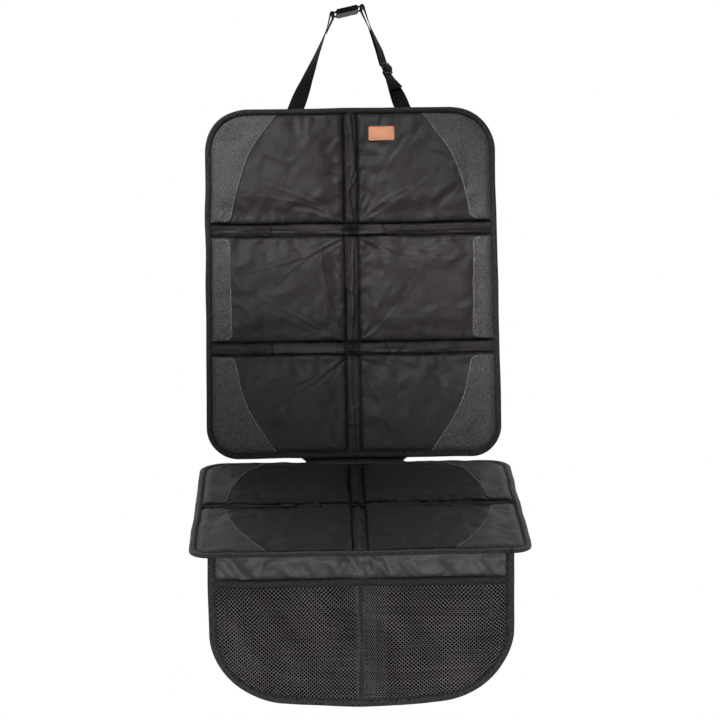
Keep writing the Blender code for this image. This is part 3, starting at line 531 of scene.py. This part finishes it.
    def settled(self, x, v):
        """How far the simulated cloth moved, read smoothly between its grid points."""
        if self.moves is None:
            return 0.0
        rows, columns = self.moves.shape[:2]
        total = 0.0
        gx = np.clip((x + self.half_width) / (2 * self.half_width) * (columns - 1), 0, columns - 1)
        gv = np.clip(v / self.height * (rows - 1), 0, rows - 1)
        ix, iv = np.floor(gx).astype(int), np.floor(gv).astype(int)
        across, up = spline_weights(gx - ix), spline_weights(gv - iv)
        for a in range(4):
            for b in range(4):
                row = np.clip(iv + a - 1, 0, rows - 1)
                column = np.clip(ix + b - 1, 0, columns - 1)
                total = total + self.moves[row, column] * (up[a] * across[b])[..., None]
        return total

    def settle(self, step=0.0055, frames=20):
        """Cloth simulation between the fixed stitch lines, so that the cloth finds its own wrinkles."""
        x = np.linspace(-self.half_width, self.half_width, int(2 * self.half_width / step))
        v, x = np.meshgrid(np.linspace(0.0, self.height, int(self.height / step)), x, indexing="ij")
        start = self.points(x, v)
        obj = grid(f"{self.name}_cloth_guide", start, np.stack((x, v), -1), CLOTH, self.where)
        across, up = self.depth(x, v)
        edge = self.rim(x, v)
        held = (np.minimum(across, up) <= 0.0) | (edge < TAPE_WIDTH)
        group = obj.vertex_groups.new(name="held")
        group.add([int(k) for k in np.flatnonzero(held.ravel())], 1.0, "REPLACE")
        cloth = obj.modifiers.new("cloth", "CLOTH")
        for key, value in CLOTH_SETTINGS.items():
            setattr(cloth.settings, key, value)
        cloth.settings.effector_weights.gravity = 0.0
        cloth.collision_settings.use_collision = False
        scene = bpy.context.scene
        for number in range(1, frames + 1):
            scene.frame_set(number)
        seen = obj.evaluated_get(bpy.context.evaluated_depsgraph_get())
        after = np.empty(len(seen.data.vertices) * 3)
        seen.data.vertices.foreach_get("co", after)
        scene.frame_set(1)
        local = (after.reshape(-1, 3) - self.where[1]) @ self.where[0].T
        moved = local.reshape(start.shape) - start
        moved[..., 2] -= moved[..., 2][~held].mean() * smooth(np.minimum(across, up) / 0.02)
        calm = 0.25 + 0.75 * smooth((edge - 0.014) / 0.050)
        self.moves = np.clip(moved * calm[..., None], -LARGEST_MOVE, LARGEST_MOVE)
        bpy.data.objects.remove(obj, do_unlink=True)

    def loop(self, inset, step=0.0045, corner=22):
        """Closed run round the pad at one inset, the same number of points for each inset."""
        low, high = self.radii
        sides, uprights = self.half_width * 2, self.height - low - high
        arcs = []
        for k, (side, top) in enumerate(((1, 0), (1, 1), (-1, 1), (-1, 0))):
            radius = self.radii[top]
            turn = np.radians(90 * (k - 1) + 90 * np.arange(corner + 1) / corner)
            across = side * (self.half_width - radius) + (radius - inset) * np.cos(turn)
            up = (self.height - radius if top else radius) + (radius - inset) * np.sin(turn)
            arcs.append(np.stack((across, up), -1))
        points = []
        for k, straight in enumerate((uprights, sides - 2 * high, uprights, sides - 2 * low)):
            count = int(straight / step)
            start, end = arcs[k][-1], arcs[(k + 1) % 4][0]
            points += [arcs[k], start + (end - start) * np.arange(1, count)[:, None] / count]
        return np.concatenate(points)

    def wavy_loop(self, inset):
        """The closed run with the waviness that every layer shares."""
        return np.stack(self.drift(*self.loop(inset).T), -1)


BACK_PAD = Pad("back", BACK, 0.2325, 0.562, (0.048, 0.070), (0.1743, 0.365), 0.0068, 100, (0.0, 1.0, 0.0))
SEAT_PAD = Pad("seat", SEAT, 0.2425, 0.420, (0.028, 0.033), (0.222,), 0.0070, 300, (0.31, 0.11, 0.0055))


def stations(low, high, centres, half):
    """Places along one side of a pad, closer together in its channels."""
    spots = [low]
    while spots[-1] < high:
        near = min(abs(spots[-1] - centre) for centre in centres) < half + 0.005
        spots.append(spots[-1] + (CHANNEL_STEP if near else WIDTH_STEP))
    return np.array(spots[:-1] + [high])


def add_cover(pad):
    x = stations(-pad.half_width + SHEET_INSET, pad.half_width - SHEET_INSET, (0.0,), CENTRE_HALF)
    v = stations(SHEET_INSET, pad.height - SHEET_INSET, pad.channels, CHANNEL_HALF)
    v, x = np.meshgrid(v, x, indexing="ij")
    points = pad.points(x, v)
    cover = grid(f"{pad.name}_face", points, np.stack((x, v), -1), CLOTH, pad.where)
    # Painted shade for each point along the stitch lines, read by the cloth's material.
    painted_groove_shade = cover.data.attributes.new("painted_groove_shade", "FLOAT", "POINT")
    painted_groove_shade.data.foreach_set("value", pad.painted_groove_shade(x, v).astype(np.float32).ravel())
    foam = [name for name in NODES if name.startswith(f"{pad.name}_foam_")]
    ride(cover, [f"{pad.name}_cover", *foam])


# Leatherette patches
def edge_at(curve, v):
    return np.interp(v, *zip(*curve))


def smooth_curve(curve):
    """The same edge with its corners rounded."""
    v = np.linspace(curve[0][0], curve[-1][0], 60)
    return list(zip(v, evened(edge_at(curve, v), 30)))


PATCHES = {
    "back": (
        ((0.0, 0.115), (0.03, 0.136), (0.06, 0.155), (0.10, 0.174), (0.1743, 0.190)),
        ((0.1743, 0.1895), (0.270, 0.191), (0.365, 0.1935)),
        ((0.365, 0.1925), (0.392, 0.189), (0.436, 0.178), (0.490, 0.158), (0.528, 0.133), (0.562, 0.110)),
    ),
    "seat": (
        ((0.0, 0.125), (0.03, 0.148), (0.07, 0.168), (0.14, 0.188), (0.222, 0.198)),
        ((0.222, 0.198), (0.300, 0.186), (0.360, 0.168), (0.395, 0.150), (0.420, 0.128)),
    ),
}
INNER_CORNER = 0.011
PATCH_LIFT = 0.0010
PATCH_COLUMNS = 46


def patch_spans(pad, rim, gap):
    """Inner edge, lowest and highest place of each patch, clear of the rim and of the channels."""
    stops = list(pad.spans())
    for k, (curve, (start, stop)) in enumerate(zip(PATCHES[pad.name], stops)):
        top = pad.height - rim if k == len(stops) - 1 else stop - gap
        yield smooth_curve(curve), start + gap if k else rim, top


def patch_lines(pad, curve, start, stop, rows):
    """Rows up the patch and where its inner edge lies on each."""
    v = np.linspace(start, stop, rows)
    inner = edge_at(curve, v)
    for end, on in ((start, start > 0.02), (stop, stop < pad.height - 0.02)):
        if on:
            near = np.clip(INNER_CORNER - np.abs(v - end), 0.0, INNER_CORNER)
            inner = inner + INNER_CORNER - np.sqrt(np.maximum(INNER_CORNER**2 - near**2, 0.0))
    return v, inner


def add_patches(pad):
    count = 0
    for curve, start, stop in patch_spans(pad, 0.0030, 0.0030):
        v, inner = patch_lines(pad, curve, start, stop, int((stop - start) / 0.0016))
        outer = pad.half_width - 0.0026
        x = inner[:, None] + (outer - inner[:, None]) * np.linspace(0.0, 1.0, PATCH_COLUMNS)
        v = np.repeat(v[:, None], PATCH_COLUMNS, 1)
        lift = np.pad(np.full_like(x, PATCH_LIFT), 1, constant_values=-0.0004)
        x, v = np.pad(x, 1, mode="edge"), np.pad(v, 1, mode="edge")
        for side in (-1, 1):
            count += 1
            points, uv = pad.points(x * side, v, lift), np.stack((x * side, v), -1)
            name = f"{pad.name}_leatherette_{count}"
            patch = grid(name, points, uv, GRAIN, pad.where, flip=side < 0)
            ride(patch, [f"{pad.name}_patch_{count}"])


# Folded tape round the edges
def tape_section(width, top, steps=7):
    """Closed section through (inset, height): up the outside, over the top and back below."""
    outer = [(width, top - 0.0010), (width * 0.62, top + 0.0002), (width * 0.30, top)]
    for j in range(1, steps):
        angle = math.pi / 2 - math.pi * j / steps
        outer.append((width * 0.16 - width * 0.16 * math.cos(angle), top / 2 + top / 2 * math.sin(angle)))
    outer += [(width * 0.30, 0.0), (width * 0.62, -0.0001), (width, 0.0002)]
    inner = [(width, 0.0012), (width * 0.40, 0.0012), (width * 0.22, top / 2), (width * 0.40, top - 0.0015)]
    inner.append((width + 0.0004, top - 0.0022))
    return outer + inner


def add_tape(name, loops, heights, material, where, closed, replaced, waviness, seed, lift=None):
    """Sweep: loops[k] is the run at the section's k-th inset, heights[k] its height."""
    run = np.concatenate(((0.0,), np.cumsum(np.hypot(*np.diff(loops[0], axis=0).T))))
    base = lift(*loops[0].T) if lift else 0.0
    lines = []
    for k, (line, height) in enumerate(zip(loops, heights)):
        wave = waviness * fractal(run / 0.022, 0.5 + k / 9.0, seed, 2)
        lines.append(np.column_stack((line, base + height + wave * (height > 0.002))))
    uv = ribbon_uv(run, 0.0014 * np.arange(len(loops)))
    tape = grid(name, np.stack(lines, 1), uv, material, where, closed, True)
    ride(tape, replaced)


def add_pad_tape(pad):
    insets, heights = zip(*tape_section(TAPE_WIDTH, 0.0062))
    loops = [pad.wavy_loop(inset - 0.0006) for inset in insets]
    name, replaced = f"{pad.name}_edge_tape", [f"{pad.name}_binding"]
    material = FLAP_TAPE if pad is SEAT_PAD else TAPE
    add_tape(name, loops, heights, material, pad.where, True, replaced, 0.0007, pad.seed, pad.lift)


def add_backing(pad, inset=0.003, step=0.005):
    """Flat anti-slip sheet with raised dots, under the pad."""
    reach = pad.half_width - inset
    x = np.linspace(-reach, reach, int(2 * pad.half_width / step))
    v = np.linspace(inset, pad.height - inset, int(pad.height / step))
    v, x = np.meshgrid(v, x, indexing="ij")
    n = 0.0001 + 0.0016 * smooth((0.016 - pad.rim(x, v)) / 0.006) + pad.lift(x, v)
    points = np.stack((*pad.warp(x, v), n), -1)
    sheet = grid(f"{pad.name}_anti_slip", points, np.stack((x, v), -1), RUBBER, pad.where, flip=True)
    ride(sheet, [f"{pad.name}_backing"])


for pad in (BACK_PAD, SEAT_PAD):
    pad.settle()
    add_cover(pad)
    add_patches(pad)
    add_pad_tape(pad)
    add_backing(pad)


# Flap with its net pockets, in flat coordinates x across and v up from its lowest point
FLAP_HALF, FLAP_HEIGHT, FLAP_RADIUS, FLAP_SAG = 0.2165, 0.2280, 0.101, 0.020
HEM_LOW, HEM_HIGH = 0.1825, 0.1945
NET_TOP = 0.1880


def flap_drift(x, v):
    return drift(x, v, 0.060, 0.0010, 500)


def flap_sag(x):
    """How much higher the flap's lower edge lies than in its middle."""
    return FLAP_SAG * (x / FLAP_HALF) ** 2


def flap_round(x, v):
    """Square grid to the flap's rounded lower corners and curved lower edge."""
    x, v = round_corners(x, v, FLAP_HALF, FLAP_HEIGHT, (FLAP_RADIUS, 0.0))
    return flap_drift(x, v + flap_sag(x) * (1 - v / FLAP_HEIGHT))


def flap_inset(x, v):
    """Distance in from the flap's edge, for points where they lie."""
    drop = flap_sag(x)
    level = (v - drop) / (1 - drop / FLAP_HEIGHT)
    along = np.abs(x) - (FLAP_HALF - FLAP_RADIUS)
    above = FLAP_RADIUS - level
    corner = FLAP_RADIUS - np.hypot(np.maximum(along, 0.0), np.maximum(above, 0.0))
    straight = np.minimum(FLAP_HALF - np.abs(x), level)
    return np.where((along > 0) & (above > 0), corner, straight)


def net_height(x, v):
    edge = np.clip((flap_inset(x, v) - 0.0135) / 0.055, 0.0, 1.0)
    seam = np.clip((np.abs(x) - 0.006) / 0.055, 0.0, 1.0)
    full = (0.4 + 0.6 * np.clip(v / 0.196, 0, 1)) * (1.0 - 0.60 * smooth((v - 0.135) / 0.055))
    bulge = 0.0130 * np.sin(np.pi / 2 * edge) * np.sin(np.pi / 2 * seam) * full
    ripple = 0.0012 * smooth(edge * 3) * fractal((x + v) / 0.045, (x - v) / 0.070, 510, 2)
    return 0.0018 + bulge + ripple


def flap_height(x, v):
    """Soft slanting creases across the strip above the hem."""
    strip = smooth((v - 0.1915) / 0.009) * smooth((0.2285 - v) / 0.010)
    strip = strip * smooth((FLAP_HALF - np.abs(x)) / 0.02)
    creases = fractal((x + 0.75 * v) / 0.017, (v - 0.5 * x) / 0.075, 520, 2)
    creases = creases + 0.8 * fractal((x - 0.9 * v) / 0.024, (v + x) / 0.090, 530, 2)
    slant = x + 0.35 * np.sign(x) * (v - HEM_HIGH)
    gathers = 1 - 2.2 * np.abs(noise(slant / 0.0085, v / 0.060, 525))
    return 0.0010 + strip * (0.0022 * creases + 0.0020 * bell(x / 0.045) * gathers + 0.0020)


def add_flap(inset=0.0020, columns=190, rows=104):
    x = np.linspace(-FLAP_HALF + inset, FLAP_HALF - inset, columns)
    v, x = np.meshgrid(np.linspace(inset, FLAP_HEIGHT, rows), x, indexing="ij")
    x, v = flap_round(x, v)
    points = np.stack((x, v, flap_height(x, v)), -1)
    sheet = grid("flap_sheet", points, points[..., :2], FLAP_CLOTH, FLAP)
    ride(sheet, ["flap_cloth"])
    ax, av = np.diff(x[:-1], axis=1), np.diff(v[:-1], axis=1)
    bx, bv = np.diff(x[:, :-1], axis=0), np.diff(v[:, :-1], axis=0)


def flap_loop(inset, step=0.0045):
    """Left side, round bottom and right side, moved in by the inset."""
    middle, radius = FLAP_HALF - FLAP_RADIUS, FLAP_RADIUS - inset
    v = np.linspace(FLAP_HEIGHT, FLAP_RADIUS, int((FLAP_HEIGHT - FLAP_RADIUS) / step))[:-1]
    x = np.linspace(-middle, 0.0, int(middle / step))[1:]
    turn = np.radians(np.linspace(180, 270, 36))
    across = np.concatenate((np.full_like(v, inset - FLAP_HALF), radius * np.cos(turn) - middle, x))
    up = np.concatenate((v, radius * np.sin(turn) + FLAP_RADIUS, np.full_like(x, inset)))
    x, v = np.append(across, -across[-2::-1]), np.append(up, up[-2::-1])
    return np.stack(flap_drift(x, v + flap_sag(x) * (1 - v / FLAP_HEIGHT)), -1)


def add_flap_tape():
    insets, heights = zip(*tape_section(0.0118, 0.0056))
    loops, heights = [flap_loop(inset) for inset in insets], np.array(heights) - 0.0014
    add_tape("flap_edge_tape", loops, heights, FLAP_TAPE, FLAP, False, ["flap_binding"], 0.0005, 540)


OUT = np.array((0.0, 0.0, 1.0))


class Gathered:
    """Many threads or stitches gathered into one mesh, in the frame of a section."""

    def __init__(self):
        self.points, self.quads, self.uv, self.count = [], [], [], 0

    def gather(self, points, quads, uv):
        self.points.append(points.reshape(-1, 3))
        self.quads.append(quads + self.count)
        self.uv.append(uv.reshape(-1, 2))
        self.count += len(self.points[-1])

    def thread(self, line, across, wide, thick):
        """Three-sided thread along a line of points."""
        rings = np.stack((line - across * wide / 2, line + OUT * thick, line + across * wide / 2), 1)
        uv = ribbon_uv(np.arange(len(line)) * 0.004, np.array((0.0, 0.0005, 0.001)))
        self.gather(rings, grid_quads(len(line), 3, wrap_columns=True), uv)

    def stitches(self, line, pitch=0.0040, length=0.0031, radius=0.00050):
        """A row of four-sided stitches along a line of points, slimmer and lower at their ends."""
        travel = np.concatenate(((0.0,), np.cumsum(np.linalg.norm(np.diff(line, axis=0), axis=1))))
        starts = np.arange(pitch / 2, travel[-1] - length, pitch)
        centres = []
        for part in (0.0, 0.22, 0.78, 1.0):
            at = starts + length * part
            centres.append(np.stack([np.interp(at, travel, line[:, k]) for k in range(3)], -1))
        side = np.cross(centres[-1] - centres[0], OUT)
        side /= np.linalg.norm(side, axis=1)[:, None]
        rings = []
        for centre, size in zip(centres, (0.35, 0.95, 0.95, 0.35)):
            middle, r = centre - OUT * (1 - size) * 0.0004, radius * size
            ring = (middle - side * r, middle + OUT * r * 0.9, middle + side * r, middle - OUT * r)
            rings.append(np.stack(ring, 1))
        points = np.stack(rings, 1)
        quads = np.concatenate((grid_quads(4, 4, wrap_columns=True), [(3, 2, 1, 0), (12, 13, 14, 15)]))
        offsets = np.arange(len(starts))[:, None, None] * 16
        self.gather(points, (quads + offsets).reshape(-1, 4), points[..., :2])

    def make(self, name, material, where, replaced, slot):
        points = place(np.concatenate(self.points), where)
        obj = build(name, points, np.concatenate(self.quads), np.concatenate(self.uv), material)
        ride(obj, replaced)
        return obj


# Net before sewing, and where the pleats beside the seam bring it, across the flap
SLACK_X = (-0.300, -0.014, 0.0, 0.016, 0.034, 0.058, 0.300)
SEWN_X = (-0.289, -0.008, 0.0, 0.010, 0.020, 0.036, 0.278)


def pleat_height(x):
    """Two soft pleats to the right of the seam."""
    return 0.0030 * bell((x - 0.0150) / 0.0050) + 0.0022 * bell((x - 0.0300) / 0.0040)


def add_net():
    threads = Gathered()
    pitch, step, slope, wide, thick = 0.0059, 0.0036, 0.98, 0.00084, 0.0004
    reach, tall = 0.30, 0.200
    length = math.hypot(1.0, slope)
    for family, sign in enumerate((1.0, -1.0)):
        ahead = np.array((1.0 / length, sign * slope / length))
        across = np.array((-ahead[1], ahead[0], 0.0))
        for start in np.arange(-reach - tall / slope, reach, pitch):
            t = np.arange(0.0, tall / abs(ahead[1]), step)
            v = (0.0 if sign > 0 else tall) + t * ahead[1]
            x = np.interp(start + t * ahead[0], SLACK_X, SEWN_X)
            x = x + 0.0011 * noise(x / 0.034 + 5, v / 0.034 + 5, 550)
            v = v + 0.0013 * noise(x / 0.045 + 15, v / 0.045 + 5, 551)
            keep = (flap_inset(x, v) > 0.0065) & (v < NET_TOP)
            if keep.sum() < 2:
                continue
            x, v = x[keep], v[keep]
            loose = smooth((flap_inset(x, v) - 0.012) / 0.022) * smooth((HEM_LOW - 0.003 - v) / 0.022)
            z = net_height(x, v) + pleat_height(x) * loose + (0.0003 if sign > 0 else 0.0)
            slow = noise((x + 0.6 * v) / 0.030, (v - x) / 0.080, 560 + family)
            band = 0.90 + 0.45 * smooth(0.5 + slow)
            threads.thread(np.stack((x, v, z), -1), across * band[:, None], wide, thick)
    net = threads.make("net_mesh", NET, FLAP, ["pocket_net"], "net")


def add_band(name, run, rings, replaced, pitch, flip):
    """Tape on the flap: each ring is one line along it, as (across, up, height)."""
    points = np.stack([np.stack(np.broadcast_arrays(*ring), -1) for ring in rings], 1)
    uv = ribbon_uv(run, np.arange(len(rings)) * pitch)
    band = grid(name, points, uv, HEM, FLAP, False, True, flip)
    ride(band, replaced)


def hem_level(x, v):
    """The hem's own waviness."""
    return v + 0.0009 * fractal(x / 0.05, 2.5, 570, 2)


def add_hem():
    """Tape across the flap on the net's upper edge."""
    middle = (HEM_LOW + HEM_HIGH) / 2
    line = np.linspace(-FLAP_HALF + 0.0085, FLAP_HALF - 0.0085, 150)
    rings = []
    for v, lift in (
        (HEM_LOW, -0.0008),
        (HEM_LOW + 0.0004, 0.0009),
        (HEM_LOW + 0.0020, 0.0015),
        (middle, 0.0013),
        (HEM_HIGH - 0.0020, 0.0017),
        (HEM_HIGH - 0.0003, 0.0010),
        (HEM_HIGH, -0.0006),
        (middle, -0.0010),
    ):
        level = hem_level(line, v)
        rings.append((line, level, net_height(line, level) + lift))
    add_band("pocket_hem_tape", line, rings, ["pocket_hem"], 0.002, True)


def add_seam():
    """Narrow upright tape that holds the net down between the pockets."""
    v = np.linspace(0.0085, HEM_LOW - 0.001, 70)
    sway = 0.0012 * noise(v / 0.03, 0.5, 580)
    places = ((-0.0032, 0.0), (-0.0028, 0.0014), (0.0, 0.0019), (0.0026, 0.0013), (0.0032, 0.0))
    rings = [(x + sway, v, 0.0016 + lift) for x, lift in places]
    add_band("pocket_seam", v, rings, (), 0.0015, False)


# Tan tab, plain, with a pressed border
TAB_X, TAB_V, TAB_HALF_WIDTH, TAB_HALF_HEIGHT, TAB_RADIUS = 0.0510, 0.5185, 0.0205, 0.0115, 0.0020


def on_tab(x, v, above):
    """Points on the tab, which evens out the relief of the cloth under it."""
    points = BACK_PAD.points(x, v)
    level = BACK_PAD.rise(np.array([TAB_X]), np.array([TAB_V]))
    points[..., 2] = 0.35 * points[..., 2] + 0.65 * level + above
    return points


def add_leather_tab(columns=84, rows=48):
    height = 2 * TAB_HALF_HEIGHT
    a = np.linspace(-TAB_HALF_WIDTH, TAB_HALF_WIDTH, columns)
    a, b = np.meshgrid(a, np.linspace(0.0, height, rows))
    x, v = round_corners(a, b, TAB_HALF_WIDTH, height, (TAB_RADIUS, TAB_RADIUS))
    x, v = x + TAB_X, v + TAB_V - TAB_HALF_HEIGHT
    edge = np.minimum(TAB_HALF_WIDTH - np.abs(a), np.minimum(b, height - b))
    border = -0.00085 * bell((edge - 0.0026) / 0.0008)
    lift = 0.0012 * np.sqrt(np.clip(edge / 0.0008, 0.0, 1.0)) + border + 0.0009
    tab = grid("tan_tab", on_tab(x, v, lift), np.stack((x, v), -1), LEATHER, BACK)
    ride(tab, ["leather_tab"])


# Cloth strip that joins the pads
NECK_HALF, NECK_THICK = 0.0765, 0.0009
# Its path behind the pads: first on the back section as (across, up, out), then as (depth, height)
NECK_UPPER = ((0.0, 0.011, -0.0016), (0.0, 0.004, -0.0020), (0.0, -0.001, -0.0012))
NECK_LOWER = ((0.2262, 0.0080), (0.2205, 0.0078), (0.2130, 0.0080), (0.2040, 0.0078), (0.1990, 0.0072))


def add_neck():
    path = np.vstack((place(np.array(NECK_UPPER), BACK)[:, 1:], NECK_LOWER))
    t = np.linspace(0, len(path) - 1, 34)
    line = evened(np.stack([np.interp(t, range(len(path)), path[:, k]) for k in (0, 1)], -1), 4)
    run = np.gradient(line, axis=0)
    side = np.stack((run[:, 1], -run[:, 0]), -1) / np.hypot(run[:, 0], run[:, 1])[:, None]
    x = np.linspace(-NECK_HALF, NECK_HALF, 90)
    fold = fractal(x[:, None] / 0.028, t[None, :] / 3.2, 590, 3)
    ends = smooth(np.minimum(t, t[-1] - t) / 3.0)[None, :]
    front = line[None] - side[None] * (NECK_THICK + 0.0011 * fold * ends)[..., None]
    behind = line[None] + side[None] * (NECK_THICK - 0.0004 * fold * ends)[..., None]
    ring = np.concatenate((front, behind[:, ::-1]), 1)
    along = np.concatenate((t, t[::-1])) / t[-1]
    flare = 1.0 + 0.30 * np.abs(2 * along - 1) ** 1.6
    points = np.concatenate(((x[:, None] * flare)[..., None], ring), -1)
    uv = ribbon_uv(x, np.arange(len(along)) * 0.0012)
    neck = grid("neck_cloth", points, uv, CLOTH, None, False, True, True)
    ride(neck, ["neck_strip"])


# Rows of stitches
def add_pad_stitches(pad):
    pale, dark = Gathered(), Gathered()
    for curve, start, stop in patch_spans(pad, TAPE_WIDTH, 0.0046):
        v, inner = patch_lines(pad, curve, start, stop, 90)
        for side in (-1, 1):
            line = pad.points(side * (inner + 0.0018), v, PATCH_LIFT + 0.0003)
            pale.stitches(line, 0.0036, 0.0032, 0.00075)
    reach = np.linspace(-pad.half_width + TAPE_WIDTH, pad.half_width - TAPE_WIDTH, 260)
    tall = np.linspace(TAPE_WIDTH, pad.height - TAPE_WIDTH, 300)
    for centre, side in product(pad.channels, (-1, 1)):
        level = np.full_like(reach, centre + side * CHANNEL_HALF)
        dark.stitches(pad.points(reach, level, 0.0002))
    for side in (-1, 1):
        dark.stitches(pad.points(np.full_like(tall, side * CENTRE_HALF), tall, 0.0002))
    edge = pad.wavy_loop(TAPE_WIDTH - 0.0022)
    edge = np.vstack((edge, edge[:1]))
    dark.stitches(np.column_stack((edge, 0.0060 + pad.lift(*edge.T))))
    pale.make(f"{pad.name}_patch_stitches", THREAD, pad.where, (), "face_cloth")
    dark.make(f"{pad.name}_quilt_stitches", DARK_THREAD, pad.where, (), "tape")


def add_flap_stitches():
    dark = Gathered()
    edge = flap_loop(0.0094)
    dark.stitches(np.column_stack((edge, np.full(len(edge), 0.0040))))
    line = np.linspace(-FLAP_HALF + 0.012, FLAP_HALF - 0.012, 160)
    for v in (HEM_LOW + 0.0018, HEM_HIGH - 0.0018):
        level = hem_level(line, v)
        dark.stitches(np.stack((line, level, net_height(line, level) + 0.0017), -1))
    dark.make("flap_stitches", DARK_THREAD, FLAP, (), "tape")


def add_tab_stitches():
    tan = Gathered()
    wide, high = TAB_HALF_WIDTH - 0.0024, TAB_HALF_HEIGHT - 0.0024
    corners = np.array([(-wide, -high), (wide, -high), (wide, high), (-wide, high), (-wide, -high)])
    for a, b in zip(corners, corners[1:]):
        line = a + (b - a) * np.linspace(0, 1, 20)[:, None] + (TAB_X, TAB_V)
        tan.stitches(on_tab(*line.T, 0.0019), 0.0026, 0.0022, 0.00055)
    tan.make("tab_stitches", TAB_THREAD, BACK, (), "tab_leather")


add_flap()
add_flap_tape()
add_net()
add_hem()
add_seam()
add_leather_tab()
add_neck()
for pad in (BACK_PAD, SEAT_PAD):
    add_pad_stitches(pad)
add_flap_stitches()
add_tab_stitches()


# CAD pieces that stay, with better surfaces and softer edges
for name, material, bevel in (
    ("buckle_socket", PLASTIC, 0.0005),
    ("buckle_plug", PLASTIC, 0.0004),
    ("strap_slider", PLASTIC, 0.0004),
    ("strap_left", WEB, 0.0004),
    ("strap_right", WEB, 0.0004),
):
    obj = NODES[name]
    for surface in obj.material_slots:
        surface.material = material
    edges = obj.modifiers.new("soft edges", "BEVEL")
    edges.width, edges.segments, edges.limit_method = bevel, 3, "ANGLE"
    edges.angle_limit = math.radians(40)


# Camera, light and white surroundings
CAMERA_SPOT, CAMERA_PITCH, LENS = Vector((0.0052, -3.40, 1.11)), math.radians(75.5), 119.7
CAMERA_TURN, CAMERA_ROLL = math.radians(-1.16), math.radians(-0.5)


def add_camera():
    data = bpy.data.cameras.new("camera")
    data.lens, data.sensor_width = LENS, 36.0
    camera = bpy.data.objects.new("camera", data)
    bpy.context.scene.collection.objects.link(camera)
    turn, roll = (Matrix.Rotation(angle, 4, "Z") for angle in (CAMERA_TURN, CAMERA_ROLL))
    stand = Matrix.Translation(CAMERA_SPOT) @ Matrix.Rotation(CAMERA_PITCH, 4, "X")
    camera.matrix_world = turn @ stand @ roll
    bpy.context.scene.camera = camera


def add_light(name, spot, aim, width, height, power, spread):
    data = bpy.data.lights.new(name, "AREA")
    data.shape, data.size, data.size_y, data.energy = "RECTANGLE", width, height, power
    data.spread = math.radians(spread)
    light = bpy.data.objects.new(name, data)
    bpy.context.scene.collection.objects.link(light)
    light.location = spot
    light.rotation_euler = (Vector(aim) - Vector(spot)).to_track_quat("-Z", "Y").to_euler()


def add_world(front, rear):
    """White to the camera; as light, dimmer in front of the object than behind it."""
    world = bpy.data.worlds.new("white")
    bpy.context.scene.world = world
    world.use_nodes = True
    tree = world.node_tree
    link, new = tree.links.new, tree.nodes.new
    lit, white = tree.nodes["Background"], new("ShaderNodeBackground")
    for background in (lit, white):
        background.inputs["Color"].default_value = (1.0, 1.0, 1.0, 1.0)
    parts, ramp = new("ShaderNodeSeparateXYZ"), new("ShaderNodeMapRange")
    ramp.interpolation_type = "SMOOTHSTEP"
    for name, value in (("From Min", 0.0), ("From Max", 0.7), ("To Min", front), ("To Max", rear)):
        ramp.inputs[name].default_value = value
    link(new("ShaderNodeTexCoord").outputs["Generated"], parts.inputs[0])
    link(parts.outputs["Y"], ramp.inputs["Value"])
    link(ramp.outputs["Result"], lit.inputs["Strength"])
    mix = new("ShaderNodeMixShader")
    link(new("ShaderNodeLightPath").outputs["Is Camera Ray"], mix.inputs[0])
    link(lit.outputs[0], mix.inputs[1])
    link(white.outputs[0], mix.inputs[2])
    link(mix.outputs[0], tree.nodes["World Output"].inputs["Surface"])


add_camera()
add_light("upper", (-0.60, -0.9, 2.0), (0.0, 0.35, 0.395), 1.2, 0.4, 1.47, 14.5)
add_light("lower", (0.3, -2.2, -0.1), (0.0, -0.2, -0.25), 1.2, 0.4, 0.74, 30.0)
add_world(0.22, 0.9)

bpy.context.scene.view_settings.view_transform = "Standard"
